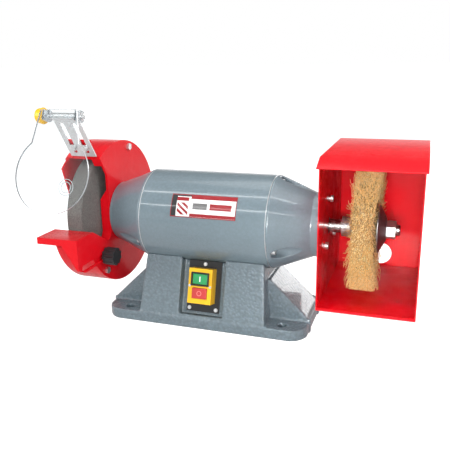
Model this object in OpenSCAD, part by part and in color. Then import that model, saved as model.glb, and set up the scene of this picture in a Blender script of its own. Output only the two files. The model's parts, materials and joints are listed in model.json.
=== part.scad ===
// Bench grinder with a grinding wheel on the left and a wire brush in a box on the right.
// X runs along the motor shaft, Y to the back and Z up from the bench.
// The origin is the middle of the base bolt pattern on the underside. Millimetres.

/* [Machine] */
// Height of the shaft axis above the bench
axis_h = 162; // [150:1:200]
// Length of the cylindrical motor shell
shell_l = 200; // [180:1:240]
// Outer diameter of the motor shell
shell_d = 144; // [138:1:152]
// Distance of the motor's middle from the base's middle
motor_x = 4; // [0:1:8]
// Wall thickness of the motor shell
shell_wall = 5; // [4:0.5:8]

/* [End bells] */
// Length of the conical part of each end bell
cone_l = 61; // [50:1:80]
// Diameter of the nose at the narrow end of each bell
nose_d = 97; // [95:1:108]
// Length of the straight nose on the wheel side
nose_left_l = 4; // [3:0.5:12]
// Length of the straight nose on the brush side
nose_right_l = 19; // [6:0.5:30]
// Number of screws round each bell
bell_screw_count = 3; // [2:1:4]

/* [Base] */
// Length of the base along the shaft
base_l = 330; // [320:1:400]
// Depth of the base from front to back
base_w = 150; // [148:1:180]
// Thickness of the foot flange
flange_t = 17; // [12:0.5:20]
// Radius of the foot's corners
foot_corner_r = 28; // [10:1:34]
// Distance of the foundation bolts from the foot's ends
bolt_inset_x = 38; // [30:1:40]
// Distance of the foundation bolts from the foot's front and back
bolt_inset_y = 18; // [14:1:20]
// Diameter of the foundation bolt holes
bolt_hole_d = 14; // [9:0.5:16]
// Distance of the pillar's foot from the foot's ends
pillar_end_inset = 61.5; // [55:0.5:65]
// Taper of the pillar towards the motor, both ends together
pillar_end_taper = 14; // [8:1:20]
// Depth of the pillar under the motor
pillar_top_w = 92; // [86:1:104]
// Wall thickness of the casting
cast_wall = 8; // [6:0.5:10]

/* [Grinding wheel] */
// Diameter of the grinding wheel
wheel_d = 200; // [150:1:204]
// Thickness of the grinding wheel
wheel_t = 26; // [20:1:28]
// Diameter of the threaded ends of the shaft
arbor_d = 16; // [12:1:18]
// Diameter of the wheel flanges
wheel_flange_d = 70; // [56:1:76]

/* [Wire brush] */
// Diameter of the wire brush
brush_d = 184; // [150:1:186]
// Width of the wire brush
brush_t = 32; // [20:1:40]
// Diameter of the brush flanges
brush_flange_d = 70; // [50:1:76]

/* [Wheel guard] */
// Distance from the wheel's rim to the guard's outer face
guard_gap = 17; // [16:1:25]
// Sheet thickness of the guard
guard_sheet = 2.5; // [2:0.5:3]
// Depth of the back dish of the guard
dish_depth = 16; // [12:1:18]

/* [Tool rest] */
// Width of the tool rest's table along the shaft
table_l = 68; // [62:1:80]
// Depth of the table from front to back
table_w = 46; // [40:1:60]
// Height of the table's top below the shaft axis
table_drop = 9; // [4:1:16]
// Gap between the table and a new wheel
table_gap = 4; // [2:0.5:6]

/* [Eye shield] */
// Half the width of the shield's widest part
shield_half_w = 60; // [50:1:64]
// Length of the shield below its rod
shield_l = 145; // [120:1:148]
// Thickness of the clear sheet
shield_t = 3; // [2:0.5:4]

/* [Brush box] */
// Width of the brush box along the shaft
box_l = 133; // [128:1:150]
// Distance of the box's front edge from the brush's rim
box_front_gap = 6; // [2:1:16]
// Distance of the box's back wall from the brush's rim
box_back_gap = 21; // [10:1:40]
// Distance of the box's floor from the brush's rim
box_low_gap = 4; // [4:1:20]
// Distance of the box's roof from the brush's rim
box_top_gap = 24; // [16:1:40]
// Sheet thickness of the box
box_sheet = 1.5; // [1:0.25:2]
// Diameter of the dust outlet in the back wall
port_d = 36; // [30:1:44]

/* [Switch] */
// Width of the switch's mounting plate
plate_l = 54; // [48:1:60]
// Height of the switch's mounting plate
plate_h = 80; // [74:1:82]
// Travel of both push buttons
button_travel = 3.5; // [2:0.5:4]

/* [Hidden] */
$fn = 96;

// Clearances
fit = 0.05;       // radial gap of a turning or clamped fit
gap = 0.3;        // gap between pieces that slide past each other
screw_gap = 0.5;  // radial gap of a screw in its hole

// Colours
cast_grey = "#86969e";
guard_red = "#d8121c";
steel = "#b9bcc0";
dark_steel = "#54585c";
black_plastic = "#222426";
yellow_plastic = "#f2c21a";
green_plastic = "#1f9b4a";
red_plastic = "#d2322b";
copper = "#b8733a";
brass = "#c99b45";
abrasive = "#8a8885";

// Motor stack along X
shell_r = shell_d / 2;
shell_x0 = motor_x - shell_l / 2;
shell_x1 = motor_x + shell_l / 2;
shell_bore_r = shell_r - shell_wall;
nose_r = nose_d / 2;
left_cone_x = shell_x0 - cone_l;
right_cone_x = shell_x1 + cone_l;
left_nose_x = left_cone_x - nose_left_l;
right_nose_x = right_cone_x + nose_right_l;
bell_wall = 6;
hub_r = 30;
nose_screw_r = nose_r - 7;
bell_screw_start = 90;
pocket_r = 9;
pocket_pitch_r = shell_r - 10;
seam_t = 6;
lug_l = 12;
lug_r = 8;

// Bearings, 20 x 47 x 14
bearing_bore_r = 10;
bearing_r = 23.5;
bearing_t = 14;
bearing_inset = 5;
inner_race_r = 13.2;
outer_race_r = 20.3;
ball_r = 3.4;
ball_pitch_r = (inner_race_r + outer_race_r) / 2;
ball_count = 8;
left_bearing_x = left_cone_x + bearing_inset;
right_bearing_x = right_cone_x - bearing_inset - bearing_t;

// Rotor and stator
stack_l = 70;
rotor_r = shell_bore_r - 27.4;
air_gap = 0.4;
core_shaft_r = 14;
stator_bore_r = rotor_r + air_gap;
slot_count = 24;
slot_w = 4;
slot_in_r = stator_bore_r + 4;
slot_out_r = shell_bore_r - 9;
winding_l = 20;
ring_l = 8;

// Pillar
bolt_span_x = base_l - 2 * bolt_inset_x;
bolt_span_y = base_w - 2 * bolt_inset_y;
pillar_foot_l = base_l - 2 * pillar_end_inset;
pillar_top_l = pillar_foot_l - pillar_end_taper;
pillar_foot_w = base_w - 4;
pillar_h = axis_h - 50;
low_z = axis_h - 102;
face_run = (pillar_foot_w - pillar_top_w) / 2;
face_rise = pillar_h - flange_t;
face_tilt = atan2(face_run, face_rise);
saddle_r = shell_r + 0.2;
ramp_half_w = 38;
ramp_top = 80;
ramp_end = base_l / 2 - 3;
ramp_end_h = flange_t + 7;
rib_w = 6;

// Switch
recess_l = 72;
recess_depth = 13;
recess_floor = 6;
recess_low = -45;
plate_t = 2;
housing_l = 38;
housing_h = 54;
housing_out = 9;
housing_wall = 3;
housing_z = 2;
button_l = 24;
button_h = 16;
button_z = 11;
window_gap = 0.4;
face_mid_z = flange_t + face_rise / 2;
face_mid_y = -(pillar_foot_w + pillar_top_w) / 4;

// Wheel stack, from the nose towards -X
arbor_r = arbor_d / 2;
journal_r = bearing_bore_r;
guard_face_x = left_nose_x;
guard_plate_t = 3;
wheel_shoulder_x = left_nose_x - 9;
wheel_flange_t = 8;
blotter_t = 1;
outer_flange_t = 6;
wheel_nut_t = 8;
wheel_x1 = wheel_shoulder_x - wheel_flange_t - blotter_t;
wheel_x0 = wheel_x1 - wheel_t;
wheel_nut_x = wheel_x0 - blotter_t - outer_flange_t - wheel_nut_t;
nut_flats = 24;
bush_r = 16;

// Guard
guard_r = wheel_d / 2 + guard_gap;
cover_face_x = wheel_nut_x - 5.5;
cover_corner = 8;
dish_x = guard_face_x - dish_depth;
open_top_angle = 123;
open_low_angle = 198;
guard_bolt_r = guard_r - 10;
guard_bolt_angles = [75, 333, 231];
tab_t = 3;
tab_x = dish_x - 6;
spark_tilt = open_top_angle - 90;
spark_x = wheel_x0 + wheel_t / 2 + 6;
spark_w = 44;
spark_low = guard_r + 5;
spark_high = guard_r + 77;
spark_t = 2;
curl_z = spark_high + 4;
rod_r = 3;
curl_r = 5;
spark_screw_z = guard_r + 23;
spark_screw_dx = 10.5;
spark_slot_low = spark_screw_z - 8;
spark_slot_high = spark_high - 10;
spark_slot_w = 7;
flange_reach = guard_r + 35;
mouth_back = -45;
mouth_low = -36;
mouth_fillet = 14;
lip_low = 26;
lip_high = 44;
lip_top = 84;
knob_lobes = 9;
lobe_cut_r = 3.2;

// Eye shield
shield_x = spark_x - 1;
ear_dx = 27;
ear_r = 9;
ear_t = 3;
shield_back = 14;
shield_tilt = 20;
shield_bulb_r = shield_half_w - 3;
rod_y = -curl_z * sin(spark_tilt);
rod_z = axis_h + curl_z * cos(spark_tilt);
shield_knob_r = 12.5;
shield_knob_l = 18;

// Tool rest
rest_t = 3;
rest_x1 = guard_face_x + gap + rest_t;
table_z = axis_h - table_drop;
table_y1 = -wheel_d / 2 - table_gap;
table_y0 = table_y1 - table_w;
rest_knob_y = -(guard_r - 43);
rest_knob_z = axis_h + mouth_low - 20;
rest_slot_back = 20;
rest_slot_front = 62;
rest_stud_r = 4;
rest_knob_r = 16;
rest_knob_l = 20;
rest_nut_t = 6;

// Brush stack, from the nose towards +X
box_x0 = right_nose_x;
box_x1 = box_x0 + box_l;
box_front = brush_d / 2 + box_front_gap;
box_back = brush_d / 2 + box_back_gap;
box_z0 = axis_h - brush_d / 2 - box_low_gap;
box_z1 = axis_h + brush_d / 2 + box_top_gap;
brush_shoulder_x = box_x0 + 33;
brush_flange_t = 7;
brush_cap_t = 12;
brush_x0 = brush_shoulder_x + brush_flange_t;
brush_x1 = brush_x0 + brush_t;
brush_nut_t = 13;
brush_hub_r = 32;
brush_nut_x = brush_x1 + brush_cap_t;
shaft_end_x = brush_nut_x + brush_nut_t + 6;
roof_over = 3;
fold_y = -box_front + 21;
lip_drop = 11;
lip_y = -(box_front + 6);
port_x = box_x0 + 70;
port_z = box_z0 + port_d / 2 + 4;

// ---------------------------------------------------------------- helpers

// Extrudes a shape drawn in the (Y, Z) plane along X
module along_x(x0, l)
    translate([x0, 0, 0])
        rotate([90, 0, 90])
            linear_extrude(l)
                children();

// Extrudes a shape drawn in the (X, Z) plane along Y
module along_y(y0, l)
    translate([0, y0 + l, 0])
        rotate([90, 0, 0])
            linear_extrude(l)
                children();

// A disc on the shaft axis
module disc(x0, l, r, n = 96)
    translate([x0, 0, axis_h])
        rotate([0, 90, 0])
            cylinder(h = l, r = r, $fn = n);

// A plain ring on the shaft axis
module ring(x0, l, r_in, r_out)
    difference() {
        disc(x0, l, r_out);
        disc(x0 - 1, l + 2, r_in);
    }

// A body turned about the shaft axis, points are [radius, x]
module turned(points)
    translate([0, 0, axis_h])
        rotate([0, 90, 0])
            rotate_extrude()
                polygon(points);

// Moves children to a polar place round the shaft axis
module polar(angle, r)
    translate([0, r * cos(angle), axis_h + r * sin(angle)])
        children();

// A rod along X at the present place
module rod_x(x0, l, r, n = 48)
    translate([x0, 0, 0])
        rotate([0, 90, 0])
            cylinder(h = l, r = r, $fn = n);

// A hexagon bar along X, size is across the flats
module hex_x(x0, l, flats)
    rod_x(x0, l, flats / 2 / cos(30), 6);

// A cap screw along +X: the head starts at x0 and the shank follows it
module cap_screw(x0, head_l, head_r, shank_l, shank_r)
    difference() {
        union() {
            rod_x(x0, head_l, head_r);
            rod_x(x0 + head_l - 0.01, shank_l + 0.01, shank_r);
        }
        hex_x(x0 - 0.1, head_l * 0.6, head_r);
    }

// The frame of the pillar's sloping front: X right, Y into the pillar, Z up the slope
module on_face()
    translate([0, face_mid_y, face_mid_z])
        rotate([-face_tilt, 0, 0])
            children();

// A box centred in X and Z that starts at y0
module plate(l, y0, t, h, z = 0)
    translate([-l / 2, y0, z - h / 2])
        cube([l, t, h]);

// A sloping-sided block, smaller by inset on every side
module pillar_block(inset, z0, z1) {
    slope_x = (pillar_foot_l - pillar_top_l) / 2 / face_rise;
    slope_y = face_run / face_rise;
    x0 = pillar_foot_l / 2 - inset + slope_x * (flange_t - z0);
    x1 = pillar_foot_l / 2 - inset - slope_x * (z1 - flange_t);
    y0 = pillar_foot_w / 2 - inset + slope_y * (flange_t - z0);
    y1 = pillar_foot_w / 2 - inset - slope_y * (z1 - flange_t);
    intersection() {
        along_y(-base_w, 2 * base_w)
            polygon([[-x0, z0], [x0, z0], [x1, z1], [-x1, z1]]);
        along_x(-base_l, 2 * base_l)
            polygon([[-y0, z0], [y0, z0], [y1, z1], [-y1, z1]]);
    }
}

// ---------------------------------------------------------------- base

saddle_top = axis_h - sqrt(shell_r * shell_r - pillar_top_w * pillar_top_w / 4) + 4;
cavity_r = saddle_r + cast_wall;
cover_l = pillar_foot_l - 2 * cast_wall;
cover_w = pillar_foot_w - 2 * cast_wall;
cover_t = 1.5;
gland_x = 60;
gland_z = 45;
gland_seat_y = base_w / 2;
gland_r = 8;
cable_r = 4;
mount_screw_x = 62;
mount_screw_y = 24;

module foot_outline() {
    x = base_l / 2 - foot_corner_r;
    y = base_w / 2 - foot_corner_r;
    square([base_l, 2 * y], center = true);
    square([2 * x, base_w], center = true);
    for (sx = [-1, 1], sy = [-1, 1])
        translate([sx * x, sy * y])
            circle(foot_corner_r);
}

// The wedge between the two bolt ears at one end, with its two end ribs
module end_ramp() {
    along_y(-ramp_half_w, 2 * ramp_half_w)
        polygon([[pillar_top_l / 2 - 6, 1], [ramp_end, 1], [ramp_end, ramp_end_h],
            [pillar_foot_l / 2, ramp_top], [pillar_top_l / 2 - 6, ramp_top]]);
    for (s = [-1, 1])
        translate([ramp_end - 1, s * (ramp_half_w - rib_w / 2) - rib_w / 2, 0])
            cube([6, rib_w, ramp_end_h - 2]);
}

module switch_pocket(grow)
    on_face()
        translate([-recess_l / 2 - grow, -20, recess_low - grow])
            cube([recess_l + 2 * grow, 20 + recess_depth + grow, 130]);

module base_casting()
    color(cast_grey)
        difference() {
            union() {
                difference() {
                    union() {
                        linear_extrude(flange_t)
                            foot_outline();
                        pillar_block(0, flange_t - 1, saddle_top);
                        end_ramp();
                        mirror([1, 0, 0])
                            end_ramp();
                    }
                    difference() {
                        pillar_block(cast_wall, -1, saddle_top + 1);
                        disc(-base_l, 2 * base_l, cavity_r);
                    }
                }
                intersection() {
                    pillar_block(0.01, flange_t, saddle_top);
                    switch_pocket(recess_floor);
                }
                translate([gland_x, gland_seat_y - 26, gland_z])
                    rotate([-90, 0, 0])
                        cylinder(h = 26, r = gland_r + 8);
            }
            disc(-base_l, 2 * base_l, saddle_r);
            switch_pocket(0);
            on_face()
                plate(40, 0, 40, 56);
            for (p = switch_screw_places)
                on_face()
                    translate([p[0], 0, p[1]])
                        rotate([-90, 0, 0])
                            cylinder(h = recess_depth + 5, r = 1.6);
            for (sx = [-1, 1], sy = [-1, 1]) {
                translate([sx * bolt_span_x / 2, sy * bolt_span_y / 2, -1])
                    cylinder(h = flange_t + 2, d = bolt_hole_d);
                translate([motor_x + sx * mount_screw_x, sy * mount_screw_y, low_z])
                    cylinder(h = 60, r = 4 + screw_gap);
                translate([sx * (cover_l / 2 - 5), sy * (cover_w / 2 - 5), -1])
                    cylinder(h = 13, r = 1.7);
            }
            translate([-cover_l / 2 - gap, -cover_w / 2 - gap, -1])
                cube([cover_l + 2 * gap, cover_w + 2 * gap, 1 + cover_t + 1]);
            translate([gland_x, 0, gland_z])
                rotate([-90, 0, 0])
                    cylinder(h = base_w, r = gland_r);
        }

module bottom_cover()
    color(dark_steel)
        difference() {
            translate([-cover_l / 2, -cover_w / 2, 1])
                cube([cover_l, cover_w, cover_t]);
            for (sx = [-1, 1], sy = [-1, 1])
                translate([sx * (cover_l / 2 - 5), sy * (cover_w / 2 - 5), 0])
                    cylinder(h = 4, r = 1.7);
        }

module bottom_cover_screws()
    color(steel)
        for (sx = [-1, 1], sy = [-1, 1])
            translate([sx * (cover_l / 2 - 5), sy * (cover_w / 2 - 5), 0.2]) {
                cylinder(h = 0.8, r = 3.2);
                cylinder(h = 10, r = 1.6);
            }

module motor_mount_screws()
    color(dark_steel)
        for (sx = [-1, 1], sy = [-1, 1])
            translate([motor_x + sx * mount_screw_x, sy * mount_screw_y, 0])
                mount_screw();

// The head sits on the saddle's underside and the shank ends inside the shell's wall
module mount_screw() {
    seat = axis_h - sqrt(cavity_r * cavity_r - pow(mount_screw_y - 8, 2)) - 0.2;
    top = axis_h - sqrt(pow(shell_bore_r + 0.8, 2) - pow(mount_screw_y - 4, 2));
    translate([0, 0, seat - 6])
        cylinder(h = 6, r = 6.5 / cos(30), $fn = 6);
    translate([0, 0, seat - 0.01])
        cylinder(h = top - seat, r = 4);
}

// ---------------------------------------------------------------- switch

switch_screw_places = [[0, plate_h / 2 - 5], [-plate_l / 2 + 5, -plate_h / 2 + 5],
    [plate_l / 2 - 5, -plate_h / 2 + 5]];
plate_y = recess_depth - plate_t;
housing_y = -housing_out;
housing_depth = plate_y - housing_y;
button_y = housing_y - 1.5;
button_t = 12;
stem_l = plate_y - 1 - button_travel - button_y - button_t;
housing_screw_x = housing_l / 2 - 2.3;

module switch_plate()
    color(black_plastic)
        on_face()
            difference() {
                plate(plate_l, plate_y, plate_t, plate_h);
                plate(36, plate_y - 1, plate_t + 2, 52);
                for (p = switch_screw_places)
                    translate([p[0], 0, p[1]])
                        rotate([-90, 0, 0])
                            cylinder(h = 30, r = 1.7);
            }

module switch_plate_screws()
    color(steel)
        on_face()
            for (p = switch_screw_places)
                translate([p[0], plate_y, p[1]])
                    rotate([90, 0, 0])
                        face_screw(3, 1.5, 6);

// A pan head screw whose head stands up along +Z
module face_screw(head_r, head_h, shank_l)
    difference() {
        union() {
            cylinder(h = head_h, r = head_r);
            translate([0, 0, -shank_l])
                cylinder(h = shank_l + 0.01, r = head_r / 2);
        }
        for (a = [0, 90])
            rotate([0, 0, a])
                translate([-head_r * 0.6, -head_r * 0.12, head_h * 0.5])
                    cube([head_r * 1.2, head_r * 0.24, head_h]);
    }

module switch_housing()
    color(yellow_plastic)
        on_face()
            difference() {
                plate(housing_l, housing_y, housing_depth, housing_h, housing_z);
                plate(housing_l - 2 * housing_wall, housing_y + housing_wall, housing_depth,
                    housing_h - 2 * housing_wall, housing_z);
                for (s = [-1, 1])
                    plate(button_l + 2 * window_gap, housing_y - 1, housing_wall + 2,
                        button_h + 2 * window_gap, housing_z + s * button_z);
                for (s = [-1, 1])
                    translate([s * housing_screw_x, housing_y - 1, housing_z])
                        rotate([-90, 0, 0])
                            cylinder(h = housing_wall + 2, r = 1.1);
            }

module switch_housing_screws()
    color(steel)
        on_face()
            for (s = [-1, 1])
                translate([s * housing_screw_x, housing_y, housing_z])
                    rotate([90, 0, 0])
                        face_screw(2, 0.8, 4);

module switch_collar()
    color(black_plastic)
        on_face()
            difference() {
                plate(button_l + 5, housing_y - 3, 3, button_h + 5, housing_z + button_z);
                plate(button_l + 2 * window_gap, housing_y - 4, 5, button_h + 2 * window_gap,
                    housing_z + button_z);
            }

// A push button: a cap in the window and a stem behind it
module push_button(z) {
    plate(button_l, button_y, button_t, button_h, z);
    plate(8, button_y + button_t - 0.01, stem_l, 8, z);
}

module start_button()
    color(green_plastic)
        on_face()
            push_button(housing_z + button_z);

module start_symbol()
    color("white")
        on_face()
            plate(1.6, button_y - 0.4, 0.4, 8, housing_z + button_z);

module stop_button()
    color(red_plastic)
        on_face()
            push_button(housing_z - button_z);

module stop_symbol()
    color("white")
        on_face()
            translate([0, button_y - 0.4, housing_z - button_z])
                rotate([-90, 0, 0])
                    difference() {
                        cylinder(h = 0.4, r = 4);
                        translate([0, 0, -1])
                            cylinder(h = 3, r = 2.8);
                    }

module switch_body()
    color(black_plastic)
        on_face() {
            plate(35, plate_y, 34, 50);
            for (sx = [-1, 1], sz = [-1, 1])
                translate([sx * 10, recess_depth + 32, sz * 15])
                    rotate([-90, 0, 0])
                        cylinder(h = 6, r = 2.5);
        }

module terminal_block()
    color("#e8e4d6")
        translate([-pillar_foot_l / 2 + 28.5, -12, cover_t + 1])
            difference() {
                cube([60, 24, 16]);
                for (i = [0:4])
                    translate([8 + 11 * i, 12, 6])
                        cylinder(h = 12, r = 3);
            }

// ---------------------------------------------------------------- cable entry

module gland_tube(y0, l, r, n)
    translate([gland_x, y0, gland_z])
        rotate([-90, 0, 0])
            cylinder(h = l, r = r, $fn = n);

module cable_gland()
    color(black_plastic)
        difference() {
            union() {
                gland_tube(gland_seat_y - 24, 24.01, gland_r - fit, 96);
                gland_tube(gland_seat_y, 6, 12.7, 6);
                gland_tube(gland_seat_y + 5.9, 8.1, gland_r, 96);
            }
            gland_tube(gland_seat_y - 30, 60, 6, 96);
        }

module gland_nut()
    color(black_plastic)
        difference() {
            union() {
                gland_tube(gland_seat_y + 6.2, 11.8, 12, 6);
                gland_tube(gland_seat_y + 17.9, 3.1, 9, 96);
            }
            gland_tube(gland_seat_y + 6, 9, gland_r + fit, 96);
            gland_tube(gland_seat_y, 30, cable_r + 2, 96);
        }

module gland_seal()
    color("#303030")
        difference() {
            gland_tube(gland_seat_y + 3, 16, 6 - fit, 96);
            gland_tube(gland_seat_y, 30, cable_r, 96);
        }

// ---------------------------------------------------------------- motor

module motor_shell()
    color(cast_grey)
        difference() {
            disc(shell_x0, shell_l, shell_r);
            difference() {
                disc(shell_x0 - 1, shell_l + 2, shell_bore_r);
                for (x = [shell_x0, shell_x1 - lug_l], i = [0:bell_screw_count - 1])
                    polar(bell_screw_start + i * 360 / bell_screw_count, pocket_pitch_r)
                        rod_x(x, lug_l, lug_r);
            }
            for (i = [0:bell_screw_count - 1])
                polar(bell_screw_start + i * 360 / bell_screw_count, pocket_pitch_r)
                    rod_x(shell_x0 - 1, shell_l + 2, 3 + fit);
            for (sx = [-1, 1], sy = [-1, 1])
                translate([motor_x + sx * mount_screw_x, sy * mount_screw_y, low_z])
                    cylinder(h = 60, r = 4);
            translate([motor_x, 0, low_z])
                cylinder(h = 60, r = 6);
        }

plate_x = motor_x + 4;
plate_sticker_l = 103;
sticker_low = 167;
sticker_high = 139;
sticker_t = 0.8;

module name_plate()
    color("white")
        intersection() {
            ring(plate_x - plate_sticker_l / 2, plate_sticker_l, shell_r, shell_r + sticker_t);
            translate([0, 0, axis_h])
                along_x(-base_l, 2 * base_l)
                    polygon([[0, 0], [120 * cos(sticker_low), 120 * sin(sticker_low)],
                        [120 * cos(sticker_high), 120 * sin(sticker_high)]]);
        }

module stator_core()
    color(dark_steel)
        difference() {
            disc(motor_x - stack_l / 2, stack_l, shell_bore_r - fit);
            disc(motor_x - stack_l, 2 * stack_l, stator_bore_r);
            for (i = [0:slot_count - 1])
                slot_bar(i, slot_w, slot_in_r, slot_out_r, stack_l + 2);
        }

module slot_bar(i, w, r0, r1, l)
    translate([motor_x - l / 2, 0, axis_h])
        rotate([i * 360 / slot_count, 0, 0])
            translate([0, r0, -w / 2])
                cube([l, r1 - r0, w]);

module stator_windings()
    color(copper) {
        for (x = [motor_x - stack_l / 2 - winding_l - 0.5, motor_x + stack_l / 2 + 0.5])
            ring(x, winding_l, slot_in_r, slot_out_r);
        for (i = [0:slot_count - 1])
            slot_bar(i, slot_w - 0.4, slot_in_r + 0.4, slot_out_r - 0.4, stack_l + 2);
    }

// An end bell whose seam face is at x = 0 and whose nose points along +X
module end_bell(nose_l) {
    nose_x = cone_l + nose_l;
    seat_x = cone_l - bearing_inset - bearing_t;
    difference() {
        turned([[0, 0], [shell_r, 0], [shell_r, 3], [nose_r, cone_l], [nose_r, nose_x - 1],
            [nose_r - 1, nose_x], [0, nose_x]]);
        difference() {
            turned([[0, -1], [shell_bore_r, -1], [shell_bore_r, 3],
                [nose_r - bell_wall, cone_l - 4], [hub_r, cone_l - 4],
                [hub_r, seat_x - 3], [0, seat_x - 3]]);
            for (i = [0:bell_screw_count - 1])
                polar(bell_screw_start + i * 360 / bell_screw_count, pocket_pitch_r)
                    rod_x(-2, cone_l, pocket_r + 4);
        }
        for (i = [0:bell_screw_count - 1])
            polar(bell_screw_start + i * 360 / bell_screw_count, pocket_pitch_r) {
                rod_x(seam_t, cone_l, pocket_r);
                rod_x(-1, 20, 3 + screw_gap);
            }
        for (i = [0:2])
            polar(90 + 120 * i, nose_screw_r)
                rod_x(nose_x - 12, 13, 3);
        disc(seat_x - 4, bearing_t + 4, bearing_r);
        disc(0, nose_x + 1, bearing_bore_r + 1.5);
    }
}

module end_bell_right()
    color(cast_grey)
        translate([shell_x1, 0, 0])
            end_bell(nose_right_l);

module end_bell_left()
    color(cast_grey)
        translate([shell_x0, 0, 0])
            mirror([1, 0, 0])
                end_bell(nose_left_l);

module bell_screws()
    for (i = [0:bell_screw_count - 1])
        polar(bell_screw_start + i * 360 / bell_screw_count, pocket_pitch_r)
            translate([seam_t, 0, 0])
                mirror([1, 0, 0])
                    bell_screw();

// The head lies on the pocket floor and the shank runs back into a lug of the shell
module bell_screw() {
    difference() {
        rod_x(-6, 6, 5);
        hex_x(-6.1, 4, 5);
    }
    rod_x(-0.01, seam_t + lug_l - 2, 3);
}

module bell_screws_right()
    color(steel)
        translate([shell_x1, 0, 0])
            bell_screws();

module bell_screws_left()
    color(steel)
        translate([shell_x0, 0, 0])
            mirror([1, 0, 0])
                bell_screws();

// ---------------------------------------------------------------- rotor

core_x0 = motor_x - stack_l / 2;
core_x1 = motor_x + stack_l / 2;

module shaft()
    color(steel)
        turned([[0, wheel_nut_x - 1.5], [arbor_r - 1, wheel_nut_x - 1.5], [arbor_r, wheel_nut_x - 0.5],
            [arbor_r, wheel_shoulder_x], [journal_r, wheel_shoulder_x],
            [journal_r, left_bearing_x + bearing_t], [core_shaft_r, left_bearing_x + bearing_t],
            [core_shaft_r, right_bearing_x], [journal_r, right_bearing_x],
            [journal_r, brush_shoulder_x], [arbor_r, brush_shoulder_x],
            [arbor_r, shaft_end_x - 1], [arbor_r - 1, shaft_end_x], [0, shaft_end_x]]);

module rotor_core()
    color(dark_steel)
        ring(core_x0, stack_l, core_shaft_r, rotor_r);

module rotor_end_rings()
    color("#c9ccd0") {
        ring(core_x0 - ring_l, ring_l, 24, rotor_r - 1.5);
        ring(core_x1, ring_l, 24, rotor_r - 1.5);
    }

module ball_cage(x0) {
    ring(x0 + bearing_t / 2 - 1, 2, ball_pitch_r - 1, ball_pitch_r + 1);
    for (i = [0:ball_count - 1])
        polar(i * 360 / ball_count, ball_pitch_r)
            translate([x0 + bearing_t / 2, 0, 0])
                sphere(ball_r, $fn = 32);
}

module bearing_outer_left()
    color(steel)
        ring(left_bearing_x, bearing_t, outer_race_r, bearing_r);

module bearing_inner_left()
    color(steel)
        ring(left_bearing_x, bearing_t, bearing_bore_r, inner_race_r);

module ball_cage_left()
    color(brass)
        ball_cage(left_bearing_x);

module bearing_outer_right()
    color(steel)
        ring(right_bearing_x, bearing_t, outer_race_r, bearing_r);

module bearing_inner_right()
    color(steel)
        ring(right_bearing_x, bearing_t, bearing_bore_r, inner_race_r);

module ball_cage_right()
    color(brass)
        ball_cage(right_bearing_x);

// ---------------------------------------------------------------- grinding wheel

wheel_flange_r = wheel_flange_d / 2;

// A dished flange: its rim grips at x_grip and its hub is against x_hub
module dished_flange(x_grip, x_hub, r) {
    dir = x_hub > x_grip ? 1 : -1;
    depth = abs(x_hub - x_grip);
    turned([[arbor_r + fit, x_grip + dir * 1.5], [r - 12, x_grip + dir * 1.5], [r - 12, x_grip],
        [r, x_grip], [r, x_grip + dir * 2], [arbor_r + 8, x_hub], [arbor_r + fit, x_hub]]);
}

module wheel_inner_flange()
    color(dark_steel)
        dished_flange(wheel_shoulder_x - wheel_flange_t, wheel_shoulder_x, wheel_flange_r);

module wheel_outer_flange()
    color(dark_steel)
        dished_flange(wheel_x0 - blotter_t, wheel_nut_x + wheel_nut_t, wheel_flange_r);

module wheel_blotters()
    color("#d9c9a0") {
        ring(wheel_x1, blotter_t, bush_r, wheel_flange_r + 3);
        ring(wheel_x0 - blotter_t, blotter_t, bush_r, wheel_flange_r + 3);
    }

module wheel_bush()
    color("#e6e2d8")
        ring(wheel_x0, wheel_t, arbor_r + fit, bush_r);

module grinding_wheel()
    color(abrasive)
        turned([[bush_r, wheel_x0], [wheel_d / 2 - 1, wheel_x0], [wheel_d / 2, wheel_x0 + 1],
            [wheel_d / 2, wheel_x1 - 1], [wheel_d / 2 - 1, wheel_x1], [bush_r, wheel_x1]]);

module wheel_nut()
    color(steel)
        difference() {
            polar(0, 0)
                hex_x(wheel_nut_x, wheel_nut_t, nut_flats);
            disc(wheel_nut_x - 1, wheel_nut_t + 2, arbor_r);
        }

// ---------------------------------------------------------------- guard

// The sector that is left open, from the upper edge round the front to the lower edge
module open_sector(low, high, reach = 200)
    polygon([[0, 0], [reach * cos(low), reach * sin(low)],
        [reach * 1.5 * cos((low + high) / 2), reach * 1.5 * sin((low + high) / 2)],
        [reach * cos(high), reach * sin(high)]]);

// The mouth cut in the back plate: a tall window with a round lower corner
module mouth(shift = 0)
    translate([shift, -shift]) {
        translate([-200, mouth_low + mouth_fillet])
            square([200 + mouth_back, 200]);
        translate([-200, mouth_low])
            square([200 + mouth_back - mouth_fillet, 200]);
        translate([mouth_back - mouth_fillet, mouth_low + mouth_fillet])
            circle(mouth_fillet);
    }

// Keeps only what lies in front of the upper edge of the opening
module below_top_edge(shift = 0)
    rotate(spark_tilt)
        translate([-300, -300])
            square([300 + shift, 600]);

module back_mouth(shift = 0)
    intersection() {
        mouth(shift);
        below_top_edge(shift);
    }

// Takes the upper part of the lip away along a slanting edge
module lip_cut()
    along_y(mouth_back - 20, 40)
        polygon([[dish_x - 1, lip_low], [guard_face_x - guard_plate_t - 1, lip_high],
            [guard_face_x - guard_plate_t - 1, lip_top], [dish_x - 1, lip_top]]);

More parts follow.
